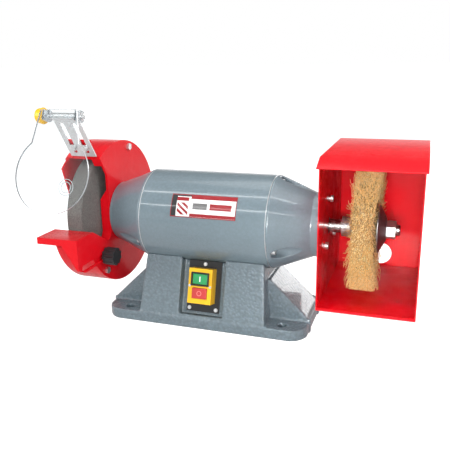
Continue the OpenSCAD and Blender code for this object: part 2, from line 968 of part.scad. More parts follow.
module guard_back()
    color(guard_red)
        difference() {
            translate([0, 0, axis_h]) {
                along_x(guard_face_x - guard_plate_t, guard_plate_t)
                    difference() {
                        circle(guard_r);
                        back_mouth();
                    }
                along_x(dish_x, dish_depth - 0.5)
                    difference() {
                        circle(guard_r);
                        circle(guard_r - guard_sheet);
                        back_mouth();
                    }
                difference() {
                    along_x(dish_x, dish_depth - 0.5)
                        intersection() {
                            circle(guard_r - guard_sheet + 0.2);
                            difference() {
                                back_mouth(guard_sheet);
                                back_mouth();
                            }
                        }
                    lip_cut();
                }
                translate([0, rest_knob_y, rest_knob_z - axis_h])
                    hex_x(guard_face_x - guard_plate_t - rest_nut_t, rest_nut_t + 0.01, 13);
            }
            disc(guard_face_x - 10, 20, bearing_r);
            for (i = [0:2])
                polar(90 + 120 * i, nose_screw_r)
                    rod_x(guard_face_x - 10, 20, 3 + screw_gap);
            for (a = guard_bolt_angles)
                polar(a, guard_bolt_r)
                    rod_x(guard_face_x - 10, 20, 3 + screw_gap);
            translate([0, rest_knob_y, rest_knob_z])
                rod_x(guard_face_x - 20, 30, rest_stud_r + fit);
        }

module guard_cover()
    color(guard_red)
        difference() {
            union() {
                translate([0, 0, axis_h]) {
                    difference() {
                        along_x(cover_face_x, dish_x - cover_face_x - gap)
                            circle(guard_r);
                        translate([0, 0, -axis_h])
                            cover_inside();
                        along_x(cover_face_x - 1, dish_x - cover_face_x + 2)
                            open_sector(open_top_angle, open_low_angle);
                    }
                    rotate([spark_tilt, 0, 0]) {
                        translate([spark_x - spark_w / 2, gap, guard_r - guard_sheet - 1])
                            cube([dish_x - gap - spark_x + spark_w / 2, guard_sheet,
                                flange_reach - guard_r + guard_sheet + 1]);
                        translate([spark_x - spark_w / 2, gap, guard_r + gap])
                            cube([spark_w, guard_sheet, flange_reach - guard_r - gap]);
                    }
                    for (a = guard_bolt_angles)
                        rotate([a - 90, 0, 0])
                            translate([tab_x - tab_t, -7, guard_bolt_r - 5])
                                cube([tab_t, 14, guard_r - guard_bolt_r + 4]);
                    side_cheek();
                }
            }
            cover_corner_cut();
            for (a = guard_bolt_angles)
                polar(a, guard_bolt_r)
                    rod_x(tab_x - 10, 20, 3 + screw_gap);
            translate([0, 0, axis_h])
                rotate([spark_tilt, 0, 0])
                    for (s = [-1, 1])
                        translate([spark_x + s * spark_screw_dx, -5, spark_screw_z])
                            rotate([-90, 0, 0])
                                cylinder(h = 20, r = 2.5 + screw_gap);
        }

// The hollow of the cover, with its round outer corner
module cover_inside()
    turned([[0, cover_face_x + guard_sheet], [guard_r - guard_sheet - cover_corner,
        cover_face_x + guard_sheet], [guard_r - guard_sheet, cover_face_x + guard_sheet + cover_corner],
        [guard_r - guard_sheet, dish_x + 1], [0, dish_x + 1]]);

// Takes the outer corner off the cover
module cover_corner_cut()
    difference() {
        ring(cover_face_x - 1, cover_corner + 1, guard_r - cover_corner, guard_r + 4);
        turned([[0, cover_face_x - 2], [guard_r - cover_corner, cover_face_x - 2],
            [guard_r - cover_corner, cover_face_x],
            for (a = [15:15:75])
                [guard_r - cover_corner + cover_corner * sin(a),
                    cover_face_x + cover_corner - cover_corner * cos(a)],
            [guard_r, cover_face_x + cover_corner],
            [guard_r, cover_face_x + cover_corner + 1], [0, cover_face_x + cover_corner + 1]]);
    }

// The flat cheek that covers the wheel nut in front of the axis
module side_cheek()
    along_x(cover_face_x, guard_sheet)
        intersection() {
            circle(guard_r - cover_corner);
            open_sector(open_top_angle - 1, open_low_angle + 1);
            union() {
                circle(wheel_flange_r + 12);
                translate([-34, -40])
                    rotate(18)
                        square([60, 160]);
            }
        }

module guard_cover_bolts()
    color(steel)
        for (a = guard_bolt_angles)
            polar(a, guard_bolt_r) {
                hex_x(guard_face_x, 4, 10);
                rod_x(tab_x - tab_t - 7, guard_face_x - tab_x + tab_t + 7, 3);
                difference() {
                    hex_x(tab_x - tab_t - 5, 5, 10);
                    rod_x(tab_x - tab_t - 6, 7, 2.9);
                }
            }

module guard_mount_screws()
    color(steel)
        for (i = [0:2])
            polar(90 + 120 * i, nose_screw_r)
                cap_screw(guard_face_x - guard_plate_t - 4, 4, 4.5, 13, 2.9);

// ---------------------------------------------------------------- spark guard and eye shield

// The frame of the spark guard's plate: X along the shaft, Z outwards, Y to the back
module on_spark()
    translate([0, 0, axis_h])
        rotate([spark_tilt, 0, 0])
            children();

module spark_guard()
    color("#d4d8dc")
        on_spark()
            difference() {
                union() {
                    translate([spark_x - spark_w / 2, -spark_t - gap, spark_low])
                        cube([spark_w, spark_t, curl_z - spark_low]);
                    translate([0, 0, curl_z])
                        rod_x(spark_x - spark_w / 2, spark_w, curl_r);
                }
                translate([0, 0, curl_z])
                    rod_x(spark_x - spark_w, 2 * spark_w, rod_r + fit);
                for (s = [-1, 1])
                    translate([spark_x + s * spark_screw_dx, -10, 0]) {
                        translate([-spark_slot_w / 2, 0, spark_slot_low])
                            cube([spark_slot_w, 20, spark_slot_high - spark_slot_low]);
                        for (z = [spark_slot_low, spark_slot_high])
                            translate([0, 0, z])
                                rotate([-90, 0, 0])
                                    cylinder(h = 20, d = spark_slot_w);
                    }
            }

module spark_guard_screws()
    color(steel)
        on_spark()
            for (s = [-1, 1])
                translate([spark_x + s * spark_screw_dx, 0, spark_screw_z])
                    rotate([90, 0, 0]) {
                        translate([0, 0, spark_t + 2 * gap])
                            cylinder(h = 1, r = 6);
                        translate([0, 0, spark_t + 2 * gap + 1])
                            cylinder(h = 3.5, r = 4.6, $fn = 6);
                        translate([0, 0, -9])
                            cylinder(h = 9 + spark_t + 2, r = 2.5);
                        translate([0, 0, -gap - guard_sheet - 4])
                            cylinder(h = 4, r = 4.6, $fn = 6);
                    }

// The frame of the eye shield: the rod is at the origin and the sheet hangs down Z
module on_shield()
    translate([0, rod_y, rod_z])
        rotate([-shield_tilt, 0, 0])
            children();

module shield_outline() {
    low = -shield_l + shield_bulb_r;
    side = shield_half_w - shield_bulb_r;
    for (s = [-1, 1])
        translate([s * side, low])
            circle(shield_bulb_r);
    translate([-side, -shield_l])
        square([2 * side, 2 * shield_bulb_r]);
    polygon([[-ear_dx - ear_t, 6], [ear_dx + ear_t, 6], [42, -60], [-42, -60]]);
}

module eye_shield()
    color("#dfeaf0", 0.4)
        on_shield()
            difference() {
                union() {
                    translate([shield_x, 0, 0])
                        along_y(-shield_back - shield_t, shield_t)
                            shield_outline();
                    for (s = [-1, 1])
                        translate([shield_x + s * ear_dx - ear_t / 2, 0, 0]) {
                            rod_x(0, ear_t, ear_r);
                            translate([0, -shield_back - 1, -ear_r])
                                cube([ear_t, shield_back + 1, ear_r + 6]);
                        }
                }
                rod_x(shield_x - 60, 120, rod_r);
            }

module shield_rod()
    color(steel)
        on_shield()
            rod_x(shield_x - ear_dx - 16, 2 * ear_dx + 25, rod_r);

module shield_knob()
    color(yellow_plastic)
        on_shield()
            difference() {
                translate([shield_x - ear_dx - ear_t / 2 - 1, 0, 0])
                    rotate([0, -90, 0])
                        rotate_extrude()
                            polygon([[0, 0], [6, 0], [shield_knob_r - 2, 3], [shield_knob_r, 6],
                                [shield_knob_r - 2, shield_knob_l - 3],
                                [shield_knob_r - 6, shield_knob_l], [0, shield_knob_l]]);
                rod_x(shield_x - ear_dx - 17, 30, rod_r + fit);
            }

module shield_nut()
    color(steel)
        on_shield()
            translate([shield_x + ear_dx + ear_t / 2, 0, 0])
                difference() {
                    union() {
                        rod_x(0, 1, 6);
                        hex_x(1, 4, 10);
                    }
                    rod_x(-1, 10, rod_r);
                }

// ---------------------------------------------------------------- tool rest

rest_lip = 10;
rest_low = rest_knob_z - 8;

module tool_rest()
    color(guard_red)
        difference() {
            union() {
                translate([rest_x1 - table_l, table_y0, table_z - rest_t])
                    cube([table_l, table_w, rest_t]);
                translate([rest_x1 - table_l, table_y0, table_z - rest_lip])
                    cube([table_l, rest_t, rest_lip]);
                along_x(rest_x1 - rest_t, rest_t)
                    polygon([[table_y0, table_z], [table_y0, rest_low + 8],
                        [table_y0 + 16, rest_low], [rest_knob_y + rest_slot_back + 6, rest_low],
                        [rest_knob_y + rest_slot_back + 12, rest_low + 6],
                        [rest_knob_y + rest_slot_back + 12, rest_knob_z + 9],
                        [table_y1, table_z]]);
                along_y(table_y0, rest_t)
                    polygon([[rest_x1, table_z - 5], [rest_x1 - 30, table_z - 5],
                        [rest_x1 - 14, rest_low + 26], [rest_x1 - rest_t, rest_low + 8],
                        [rest_x1, rest_low + 8]]);
            }
            translate([0, rest_knob_y, rest_knob_z])
                for (y = [-rest_slot_front, rest_slot_back])
                    translate([0, y, 0])
                        rod_x(rest_x1 - 2 * rest_t, 3 * rest_t, rest_stud_r + screw_gap);
            translate([rest_x1 - 2 * rest_t, rest_knob_y - rest_slot_front,
                rest_knob_z - rest_stud_r - screw_gap])
                cube([3 * rest_t, rest_slot_front + rest_slot_back, 2 * rest_stud_r + 2 * screw_gap]);
        }

module tool_rest_knob()
    color(black_plastic)
        translate([0, rest_knob_y, rest_knob_z]) {
            difference() {
                rod_x(rest_x1 + gap + 1, rest_knob_l, rest_knob_r - 2);
                for (i = [0:knob_lobes - 1])
                    rotate([i * 360 / knob_lobes, 0, 0])
                        translate([0, rest_knob_r - 1, 0])
                            rod_x(rest_x1 - 1, rest_knob_l + 4, lobe_cut_r);
            }
            rod_x(rest_x1 + gap, 1.1, 9);
            rod_x(guard_face_x - guard_plate_t - 8, rest_x1 - guard_face_x + guard_plate_t + 9,
                rest_stud_r);
        }

// ---------------------------------------------------------------- wire brush and its box

brush_flange_r = brush_flange_d / 2;

module brush_inner_flange()
    color(dark_steel)
        dished_flange(brush_x0, brush_shoulder_x, brush_flange_r);

module wire_brush()
    color(brass)
        turned([[arbor_r + fit, brush_x0], [brush_hub_r, brush_x0],
            [brush_d / 2 - 6, brush_x0 + 1], [brush_d / 2, brush_x0 + 5],
            [brush_d / 2, brush_x1 - 5], [brush_d / 2 - 6, brush_x1 - 1],
            [brush_hub_r, brush_x1], [arbor_r + fit, brush_x1]]);

module brush_outer_flange()
    color(dark_steel)
        dished_flange(brush_x1, brush_nut_x, brush_flange_r);

module brush_nut()
    color(steel)
        difference() {
            polar(0, 0)
                hex_x(brush_nut_x, brush_nut_t, nut_flats);
            disc(brush_nut_x - 1, brush_nut_t + 2, arbor_r);
        }

module box_side()
    polygon([[-box_front, box_z0], [box_back, box_z0], [box_back, box_z1 - box_sheet],
        [fold_y, box_z1 - box_sheet], [-box_front, box_z1 - box_sheet - lip_drop + 2]]);

module brush_box()
    color(guard_red)
        difference() {
            union() {
                along_x(box_x0, box_sheet)
                    box_side();
                along_x(box_x1 - box_sheet, box_sheet)
                    box_side();
                translate([box_x0, -box_front, box_z0])
                    cube([box_l, box_front + box_back, box_sheet]);
                translate([box_x0, -box_front, box_z0])
                    cube([box_l, box_sheet, 4]);
                translate([box_x0, box_back - box_sheet, box_z0])
                    cube([box_l, box_sheet, box_z1 - box_z0 - box_sheet]);
            }
            disc(box_x0 - 5, 10, journal_r + 4);
            for (i = [0:2])
                polar(90 + 120 * i, nose_screw_r)
                    rod_x(box_x0 - 5, 10, 3 + screw_gap);
            translate([port_x, box_back - 10, port_z])
                rotate([-90, 0, 0])
                    cylinder(h = 20, d = port_d);
        }

module brush_box_roof()
    color(guard_red)
        along_x(box_x0 - roof_over, box_l + 2 * roof_over)
            polygon([[box_back + 1.5, box_z1], [fold_y, box_z1], [lip_y, box_z1 - lip_drop],
                [lip_y + 1, box_z1 - lip_drop - box_sheet], [fold_y + 0.5, box_z1 - box_sheet],
                [box_back, box_z1 - box_sheet], [box_back, box_z1 - 12], [box_back + 1.5, box_z1 - 12]]);

module brush_box_bolts()
    color(steel)
        for (i = [0:2])
            polar(90 + 120 * i, nose_screw_r)
                mirror([1, 0, 0])
                    cap_screw(-box_x0 - box_sheet - 4, 4, 5, 11, 2.9);

// ---------------------------------------------------------------- nodes

base_casting();
bottom_cover();
bottom_cover_screws();
motor_mount_screws();
switch_plate();
switch_plate_screws();
switch_housing();
switch_housing_screws();
switch_collar();
start_button();
start_symbol();
stop_button();
stop_symbol();
switch_body();
terminal_block();
cable_gland();
gland_nut();
gland_seal();
motor_shell();
name_plate();
stator_core();
stator_windings();
end_bell_left();
end_bell_right();
bell_screws_left();
bell_screws_right();
shaft();
rotor_core();
rotor_end_rings();
bearing_outer_left();
bearing_inner_left();
ball_cage_left();
bearing_outer_right();
bearing_inner_right();
ball_cage_right();
wheel_inner_flange();
grinding_wheel();
wheel_bush();
wheel_blotters();
wheel_outer_flange();
wheel_nut();
guard_back();
guard_cover();
guard_cover_bolts();
guard_mount_screws();
spark_guard();
spark_guard_screws();
eye_shield();
shield_rod();
shield_knob();
shield_nut();
tool_rest();
tool_rest_knob();
brush_inner_flange();
wire_brush();
brush_outer_flange();
brush_nut();
brush_box();
brush_box_roof();
brush_box_bolts();
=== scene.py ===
"""Looks of a bench grinder with a guarded grinding wheel at one end and a boxed wire brush at the other."""

import json
import logging
import math
from dataclasses import dataclass, field
from enum import Enum
from typing import Mapping, Sequence, Union

import bmesh
import bpy
import numpy as np
from mathutils import Matrix, Vector


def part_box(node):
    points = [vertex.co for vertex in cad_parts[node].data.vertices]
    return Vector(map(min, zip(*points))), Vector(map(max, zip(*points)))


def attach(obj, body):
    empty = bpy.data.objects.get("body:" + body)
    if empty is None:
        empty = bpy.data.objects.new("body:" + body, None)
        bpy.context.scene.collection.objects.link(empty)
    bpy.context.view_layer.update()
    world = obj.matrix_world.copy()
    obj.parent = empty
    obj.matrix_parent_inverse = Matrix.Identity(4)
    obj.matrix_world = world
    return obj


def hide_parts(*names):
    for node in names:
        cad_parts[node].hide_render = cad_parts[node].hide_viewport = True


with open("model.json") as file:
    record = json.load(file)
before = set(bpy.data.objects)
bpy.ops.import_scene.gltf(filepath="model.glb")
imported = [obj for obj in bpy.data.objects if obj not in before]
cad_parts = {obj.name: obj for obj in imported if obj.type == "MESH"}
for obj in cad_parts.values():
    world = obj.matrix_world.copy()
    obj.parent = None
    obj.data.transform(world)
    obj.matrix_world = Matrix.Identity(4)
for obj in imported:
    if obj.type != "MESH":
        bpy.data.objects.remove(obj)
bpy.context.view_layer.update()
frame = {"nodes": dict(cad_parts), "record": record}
LOG = logging.getLogger("grinder")

Colour = tuple[float, float, float]
Point = Sequence[float]


class Slot(Enum):
    """The material slots of the record."""

    CAST_PAINT = "cast_paint"
    RED_PAINT = "red_paint"
    ZINC = "zinc"
    SHAFT_STEEL = "shaft_steel"
    BEARING_STEEL = "bearing_steel"
    DARK_STEEL = "dark_steel"
    CORE_STEEL = "core_steel"
    ROTOR_ALUMINIUM = "rotor_aluminium"
    COPPER = "copper"
    CAGE_BRASS = "cage_brass"
    BRASS_WIRE = "brass_wire"
    ABRASIVE = "abrasive"
    BLOTTER_CARD = "blotter_card"
    BUSH_PLASTIC = "bush_plastic"
    BLACK_PLASTIC = "black_plastic"
    YELLOW_PLASTIC = "yellow_plastic"
    GREEN_PLASTIC = "green_plastic"
    RED_PLASTIC = "red_plastic"
    WHITE_PLASTIC = "white_plastic"
    SEAL_RUBBER = "seal_rubber"
    CLEAR_SHEET = "clear_sheet"


# ---------------------------------------------------------------- shader expressions


class Value:
    """A shader value that takes part in Python expressions through Math nodes."""

    def __init__(self, graph: "Graph", socket: bpy.types.NodeSocket) -> None:
        """Wraps a node's output socket."""
        self.graph = graph
        self.socket = socket

    def _join(self, operation: str, first: "Operand", second: "Operand" = 0.0) -> "Value":
        """Adds one Math node.

        Args:
            operation: The Math node's operation.
            first: The value of its first socket.
            second: The value of its second socket.

        Returns:
            The node's result.
        """
        made = self.graph.node("ShaderNodeMath", {"operation": operation}, {0: first, 1: second})
        return Value(self.graph, made.outputs[0])

    def __add__(self, other: "Operand") -> "Value":
        """Sum."""
        return self._join("ADD", self, other)

    __radd__ = __add__

    def __sub__(self, other: "Operand") -> "Value":
        """Difference."""
        return self._join("SUBTRACT", self, other)

    def __rsub__(self, other: "Operand") -> "Value":
        """Difference from a number."""
        return self._join("SUBTRACT", other, self)

    def __mul__(self, other: "Operand") -> "Value":
        """Product."""
        return self._join("MULTIPLY", self, other)

    __rmul__ = __mul__

    def __truediv__(self, other: "Operand") -> "Value":
        """Quotient."""
        return self._join("DIVIDE", self, other)

    def __gt__(self, other: "Operand") -> "Value":
        """One where this value is above the other, else zero."""
        return self._join("GREATER_THAN", self, other)

    def __lt__(self, other: "Operand") -> "Value":
        """One where this value is below the other, else zero."""
        return self._join("LESS_THAN", self, other)

    def turned(self, other: "Operand") -> "Value":
        """The angle whose tangent is this value over the other."""
        return self._join("ARCTAN2", self, other)

    def sine(self) -> "Value":
        """Sine of the value in radians."""
        return self._join("SINE", self)

    def size(self) -> "Value":
        """Absolute value."""
        return self._join("ABSOLUTE", self)

    def within(self, low: float, high: float) -> "Value":
        """One between two numbers, else zero."""
        return (self > low) * (self < high)

    def spread(self, low: float, high: float, out_low: float, out_high: float) -> "Value":
        """Maps a range of the value onto another range and clamps it there.

        Args:
            low: Where the value's range starts.
            high: Where it ends.
            out_low: The result at the start.
            out_high: The result at the end.

        Returns:
            The mapped value.
        """
        made = self.graph.node(
            "ShaderNodeMapRange",
            {"clamp": True},
            {"Value": self, "From Min": low, "From Max": high, "To Min": out_low, "To Max": out_high},
        )
        return Value(self.graph, made.outputs["Result"])


Operand = Union[Value, float]


class Graph:
    """The node tree of one material or sky, built by expressions."""

    def __init__(self, holder: bpy.types.Material | bpy.types.World, output: str = "Material") -> None:
        """Clears the tree of a material or sky down to its output.

        Args:
            holder: The material or the world.
            output: Which kind of output node it ends in.
        """
        holder.use_nodes = True
        self.tree = holder.node_tree
        self.tree.nodes.clear()
        self.output = self.tree.nodes.new("ShaderNodeOutput" + output)
        self.where = self.node("ShaderNodeTexCoord").outputs["Object"]

    def node(
        self,
        kind: str,
        settings: Mapping[str, object] | None = None,
        values: Mapping[str | int, object] | None = None,
    ) -> bpy.types.Node:
        """Adds a node, sets it up, then fills its sockets.

        Args:
            kind: The node's type.
            settings: Its own settings; "stops" holds a ramp's places and colours.
            values: Numbers, colours, vectors or links for its input sockets.

        Returns:
            The node.
        """
        made = self.tree.nodes.new(kind)
        for key, setting in (settings or {}).items():
            if key == "stops":
                elements = made.color_ramp.elements
                while len(elements) < len(setting):
                    elements.new(1.0)
                for element, (place, colour) in zip(elements, setting):
                    element.position = place
                    element.color = (*colour, 1.0)
            else:
                setattr(made, key, setting)
        for key, value in (values or {}).items():
            socket = made.inputs[key]
            if isinstance(value, Value):
                self.tree.links.new(value.socket, socket)
            elif isinstance(value, bpy.types.NodeSocket):
                self.tree.links.new(value, socket)
            elif isinstance(value, (tuple, list)) and len(socket.default_value) == 4 and len(value) == 3:
                socket.default_value = (*value, 1.0)
            else:
                socket.default_value = value
        return made

    def axes(self) -> tuple[Value, Value, Value]:
        """The place on the object along X, Y and Z, in metres."""
        split = self.node("ShaderNodeSeparateXYZ", None, {0: self.where})
        return tuple(Value(self, split.outputs[i]) for i in range(3))

    def stretched(self, scale: Colour) -> bpy.types.NodeSocket:
        """The place on the object with each axis scaled."""
        made = self.node("ShaderNodeVectorMath", {"operation": "MULTIPLY"}, {0: self.where, 1: scale})
        return made.outputs[0]

    def noise(self, scale: float, detail: float = 3.0, rough: float = 0.5, at: object = None) -> Value:
        """Soft noise whose lumps are about one over scale metres wide."""
        made = self.node(
            "ShaderNodeTexNoise",
            None,
            {"Vector": at or self.where, "Scale": scale, "Detail": detail, "Roughness": rough},
        )
        return Value(self, made.outputs[0])

    def cells(self, scale: float, feature: str = "F1") -> Value:
        """Distance to the nearest of scattered points."""
        made = self.node("ShaderNodeTexVoronoi", {"feature": feature}, {"Vector": self.where, "Scale": scale})
        return Value(self, made.outputs["Distance"])

    def cell_tone(self, scale: float) -> Value:
        """A random tone for each cell of a pattern of scattered points."""
        made = self.node("ShaderNodeTexVoronoi", None, {"Vector": self.where, "Scale": scale})
        tone = self.node("ShaderNodeSeparateColor", None, {0: made.outputs["Color"]})
        return Value(self, tone.outputs[0])

    def blend(self, factor: Operand, first: object, second: object) -> bpy.types.NodeSocket:
        """Mixes two colours by a factor."""
        made = self.node(
            "ShaderNodeMix", {"data_type": "RGBA"}, {"Factor": factor, 6: first, 7: second}
        )
        return made.outputs[2]

    def bump(self, height: Value, distance: float, strength: float = 1.0) -> bpy.types.NodeSocket:
        """A normal raised by a height.

        Args:
            height: The height, from 0 to 1.
            distance: What a height of 1 is, in metres.
            strength: How much of it is used.

        Returns:
            The raised normal.
        """
        values = {"Height": height, "Distance": distance, "Strength": strength}
        return self.node("ShaderNodeBump", None, values).outputs[0]

    def surface(self, values: Mapping[str, object]) -> bpy.types.Node:
        """Joins one Principled shader to the output.

        Args:
            values: What its sockets hold.

        Returns:
            The shader's node.
        """
        made = self.node("ShaderNodeBsdfPrincipled", None, values)
        self.tree.links.new(made.outputs[0], self.output.inputs[0])
        return made


def shade(colour: Colour, amount: float) -> Colour:
    """A colour made lighter or darker by a factor."""
    return tuple(min(1.0, part * amount) for part in colour)


# ---------------------------------------------------------------- finishes

MADE: dict[str, bpy.types.Material] = {}


@dataclass(frozen=True)
class Finish:
    """What all finishes share: a name, a colour and a roughness."""

    name: str
    colour: Colour
    roughness: float

    def dress(self, graph: Graph) -> None:
        """Builds the finish in a new material's graph."""
        raise NotImplementedError

    def material(self) -> bpy.types.Material:
        """The finish's material, made on first use."""
        if self.name not in MADE:
            made = bpy.data.materials.new(self.name + "_finish")
            self.dress(Graph(made))
            MADE[self.name] = made
        return MADE[self.name]


@dataclass(frozen=True)
class Paint(Finish):
    """Gloss paint with a pebble of its own size and height, and a clear coat."""

    pebble: float = 300.0
    height: float = 0.00005
    coat: float = 0.5
    grime: float = 0.12
    gleam: float = 0.5
    mottle: float = 0.14

    def dress(self, graph: Graph) -> None:
        """Builds the paint."""
        clouds = graph.noise(9.0, 4.0, 0.6)
        grain = graph.cells(self.pebble, "SMOOTH_F1")
        peel = graph.noise(self.pebble * 0.55, 3.0, 0.55)
        specks = graph.noise(self.pebble * 5.0, 2.0, 0.5)
        tone = clouds.spread(0.3, 0.7, 0.0, 1.0)
        colour = graph.blend(tone, shade(self.colour, 1.0 - self.grime), shade(self.colour, 1.0 + self.grime))
        lift = (grain * 0.65 + peel * 0.35).spread(0.1, 0.6, 0.0, 1.0)
        mottled = graph.blend(lift, colour, shade(self.colour, 1.0 - self.mottle))
        graph.surface(
            {
                "Base Color": mottled,
                "Roughness": self.roughness + clouds * 0.08 + specks * 0.06,
                "Coat Weight": self.coat,
                "Coat Roughness": 0.07,
                "Specular IOR Level": self.gleam,
                "Normal": graph.bump(lift + specks * 0.08, self.height),
            }
        )


@dataclass(frozen=True)
class Metal(Finish):
    """Bare or plated metal with fine scratches, stains and a directional grain."""

    stain: Colour = (0.45, 0.42, 0.38)
    grain: Colour = (60.0, 900.0, 900.0)
    depth: float = 0.00003
    wear: float = 0.3

    def dress(self, graph: Graph) -> None:
        """Builds the metal."""
        lines = graph.noise(1.0, 3.0, 0.6, graph.stretched(self.grain))
        blots = graph.noise(110.0, 4.0, 0.65)
        fine = graph.noise(1400.0, 2.0, 0.5)
        worn = blots.spread(0.42, 0.75, 0.0, self.wear)
        graph.surface(
            {
                "Base Color": graph.blend(worn, self.colour, self.stain),
                "Metallic": 1.0 - worn * 0.3,
                "Roughness": self.roughness + lines * 0.14 + blots * 0.12,
                "Normal": graph.bump(lines * 0.7 + fine * 0.3, self.depth),
            }
        )


@dataclass(frozen=True)
class Plastic(Finish):
    """Moulded plastic with a spark-eroded grain and slight flow marks."""

    grain: float = 900.0
    depth: float = 0.00004
    gloss: float = 0.0

    def dress(self, graph: Graph) -> None:
        """Builds the plastic."""
        pits = graph.noise(self.grain, 3.0, 0.6)
        flow = graph.noise(40.0, 3.0, 0.5)
        tone = flow.spread(0.35, 0.65, 0.0, 1.0)
        graph.surface(
            {
                "Base Color": graph.blend(tone, shade(self.colour, 0.9), shade(self.colour, 1.1)),
                "Roughness": self.roughness + pits * 0.12 + flow * 0.06,
                "Coat Weight": self.gloss,
                "Coat Roughness": 0.08,
                "Normal": graph.bump(pits, self.depth),
            }
        )


@dataclass(frozen=True)
class Grit(Finish):
    """Bonded abrasive grain with pores, pale and dark grains."""

    def dress(self, graph: Graph) -> None:
        """Builds the wheel's grain."""
        grain = graph.cells(1100.0)
        tone = graph.cell_tone(1100.0)
        pores = graph.noise(700.0, 4.0, 0.7)
        dust = graph.noise(24.0, 4.0, 0.6)
        colour = graph.blend(tone, shade(self.colour, 0.62), shade(self.colour, 1.32))
        dark = pores.spread(0.55, 0.72, 0.0, 0.7)
        pitted = graph.blend(dark, colour, shade(self.colour, 0.3))
        dusted = dust.spread(0.45, 0.75, 0.0, 0.35)
        graph.surface(
            {
                "Base Color": graph.blend(dusted, pitted, shade(self.colour, 1.5)),
                "Roughness": self.roughness - tone * 0.15,
                "Normal": graph.bump(grain * 0.6 + pores * 0.4, 0.0004, 0.8),
            }
        )


@dataclass(frozen=True)
class BrassWire(Finish):
    """Brass-coated wire, brighter towards the tips and brown near the hub as painted shade, darkened in
    speckled gaps as painted shade, with painted highlights along the strands and a painted glow.
    """

    # strength of a painted glow: the wires emit their own colour though no lamp is there
    glint: float = 0.08

    def dress(self, graph: Graph) -> None:
        """Builds the wire's finish."""
        _, along_y, along_z = graph.axes()
        low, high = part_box("wire_brush")
        rim = (high.z - low.z) / 2
        up = along_z - hub_height()
        reach = graph.node("ShaderNodeMath", {"operation": "POWER"}, {0: along_y * along_y + up * up, 1: 0.5})
        radius = Value(graph, reach.outputs[0])
        strands = graph.noise(650.0, 2.0, 0.6)
        patches = graph.noise(70.0, 3.0, 0.6)
        # painted shade: the wires darken towards the hub, deep inside the brush, mixed with random patches
        tip = radius.spread(rim * 0.55, rim * 0.97, 0.0, 1.0)
        colour = graph.blend(tip * 0.8 + patches * 0.3, shade(self.colour, 0.45), self.colour)
        # painted highlight: pale streaks along the strands
        painted_highlight_colour = graph.blend(strands.spread(0.45, 0.60, 0.0, 0.9), colour, (1.0, 0.86, 0.50))
        # painted shade: dark speckles for the shaded gaps between wires; the result carries all painted light
        # and shade of the wire
        painted_gap_shade = graph.noise(1000.0, 2.0, 0.7)
        painted_light_colour = graph.blend(painted_gap_shade.spread(0.38, 0.48, 0.8, 0.0), painted_highlight_colour, shade(self.colour, 0.14))
        graph.surface(
            {
                "Base Color": painted_light_colour,
                "Metallic": strands * 0.15,
                # painted glow: the wires give off light of their own
                "Emission Color": painted_light_colour,
                "Emission Strength": self.glint,
                "Roughness": self.roughness + patches * 0.2,
                "Normal": graph.bump(strands, 0.00005),
            }
        )


@dataclass(frozen=True)
class ClearSheet(Finish):
    """Clear sheet with a faint haze of fine scratches."""

    haze: float = 0.02

    def dress(self, graph: Graph) -> None:
        """Builds the clear sheet."""
        scratches = graph.noise(1.0, 4.0, 0.7, graph.stretched((900.0, 700.0, 60.0)))
        haze = graph.noise(30.0, 4.0, 0.6)
        gloss = graph.surface(
            {
                "Base Color": self.colour,
                "Roughness": self.roughness + scratches.spread(0.62, 0.8, 0.0, 0.08) + haze * 0.03,
                "Specular IOR Level": 1.0,
                "Normal": graph.bump(scratches, 0.000004),
            }
        )
        through = graph.node("ShaderNodeBsdfTransparent", None, {"Color": (0.97, 0.985, 0.99)})
        glint = Value(graph, graph.node("ShaderNodeFresnel", None, {"IOR": 1.30}).outputs[0])
        film = glint * 0.8 + haze.spread(0.4, 0.8, 0.0, self.haze)
        mixed = graph.node("ShaderNodeMixShader", None, {0: film, 1: through.outputs[0], 2: gloss.outputs[0]})
        graph.tree.links.new(mixed.outputs[0], graph.output.inputs[0])


@dataclass(frozen=True)
class PlateArt(Finish):
    """A printed plate: white ground, bands along its edges, a striped emblem and plain bars."""

    low: Point
    high: Point
    axis_z: float
    start: float = math.radians(13)
    end: float = math.radians(41)

    def dress(self, graph: Graph) -> None:
        """Builds the print from the place along and round the motor."""
        along_x, along_y, along_z = graph.axes()
        across = (along_x - self.low[0]) / (self.high[0] - self.low[0])
        angle = (along_z - self.axis_z).turned(0.0 - along_y)
        up = (angle - self.start) / (self.end - self.start)
        border = 1.0 - across.within(0.01, 0.99) * up.within(0.035, 0.965)
        red_band = up.within(0.80, 0.97) * (across > 0.30)
        low_band = up.within(0.04, 0.17) * (across > 0.30)
        black_band = (across < 0.085) + up.within(0.90, 0.97) * (across < 0.30)
        stripe_wave = (up * 26.0 + across * 60.0).sine()
        stripes = (stripe_wave > -0.1) * across.within(0.10, 0.27) * up.within(0.10, 0.62)
        bar_red = up.within(0.70, 0.86) * across.within(0.08, 0.27)
        bars = up.within(0.36, 0.62) * across.within(0.34, 0.56)
        bars_red = up.within(0.36, 0.62) * across.within(0.60, 0.93)
        worn = graph.noise(160.0, 4.0, 0.6)
        ground = graph.blend(worn.spread(0.4, 0.7, 0.0, 0.3), self.colour, shade(self.colour, 0.86))
        dark = (0.02, 0.02, 0.022)
        red = (0.30, 0.006, 0.012)
        inked = graph.blend(red_band + low_band + bars_red + stripes + bar_red, ground, red)
        inked = graph.blend(black_band + bars * 0.85, inked, dark)
        graph.surface(
            {
                "Base Color": graph.blend(border, inked, red),
                "Roughness": self.roughness + worn * 0.1,
                "Coat Weight": 0.4,
                "Normal": graph.bump(worn, 0.00001),
            }
        )


@dataclass(frozen=True)
class Card(Finish):
    """Fibrous card."""

    def dress(self, graph: Graph) -> None:
        """Builds the card."""
        fibres = graph.noise(1.0, 4.0, 0.7, graph.stretched((300.0, 1200.0, 500.0)))
        graph.surface(
            {
                "Base Color": graph.blend(fibres, shade(self.colour, 0.75), shade(self.colour, 1.1)),
                "Roughness": self.roughness + fibres * 0.1,
                "Normal": graph.bump(fibres, 0.00006),
            }
        )


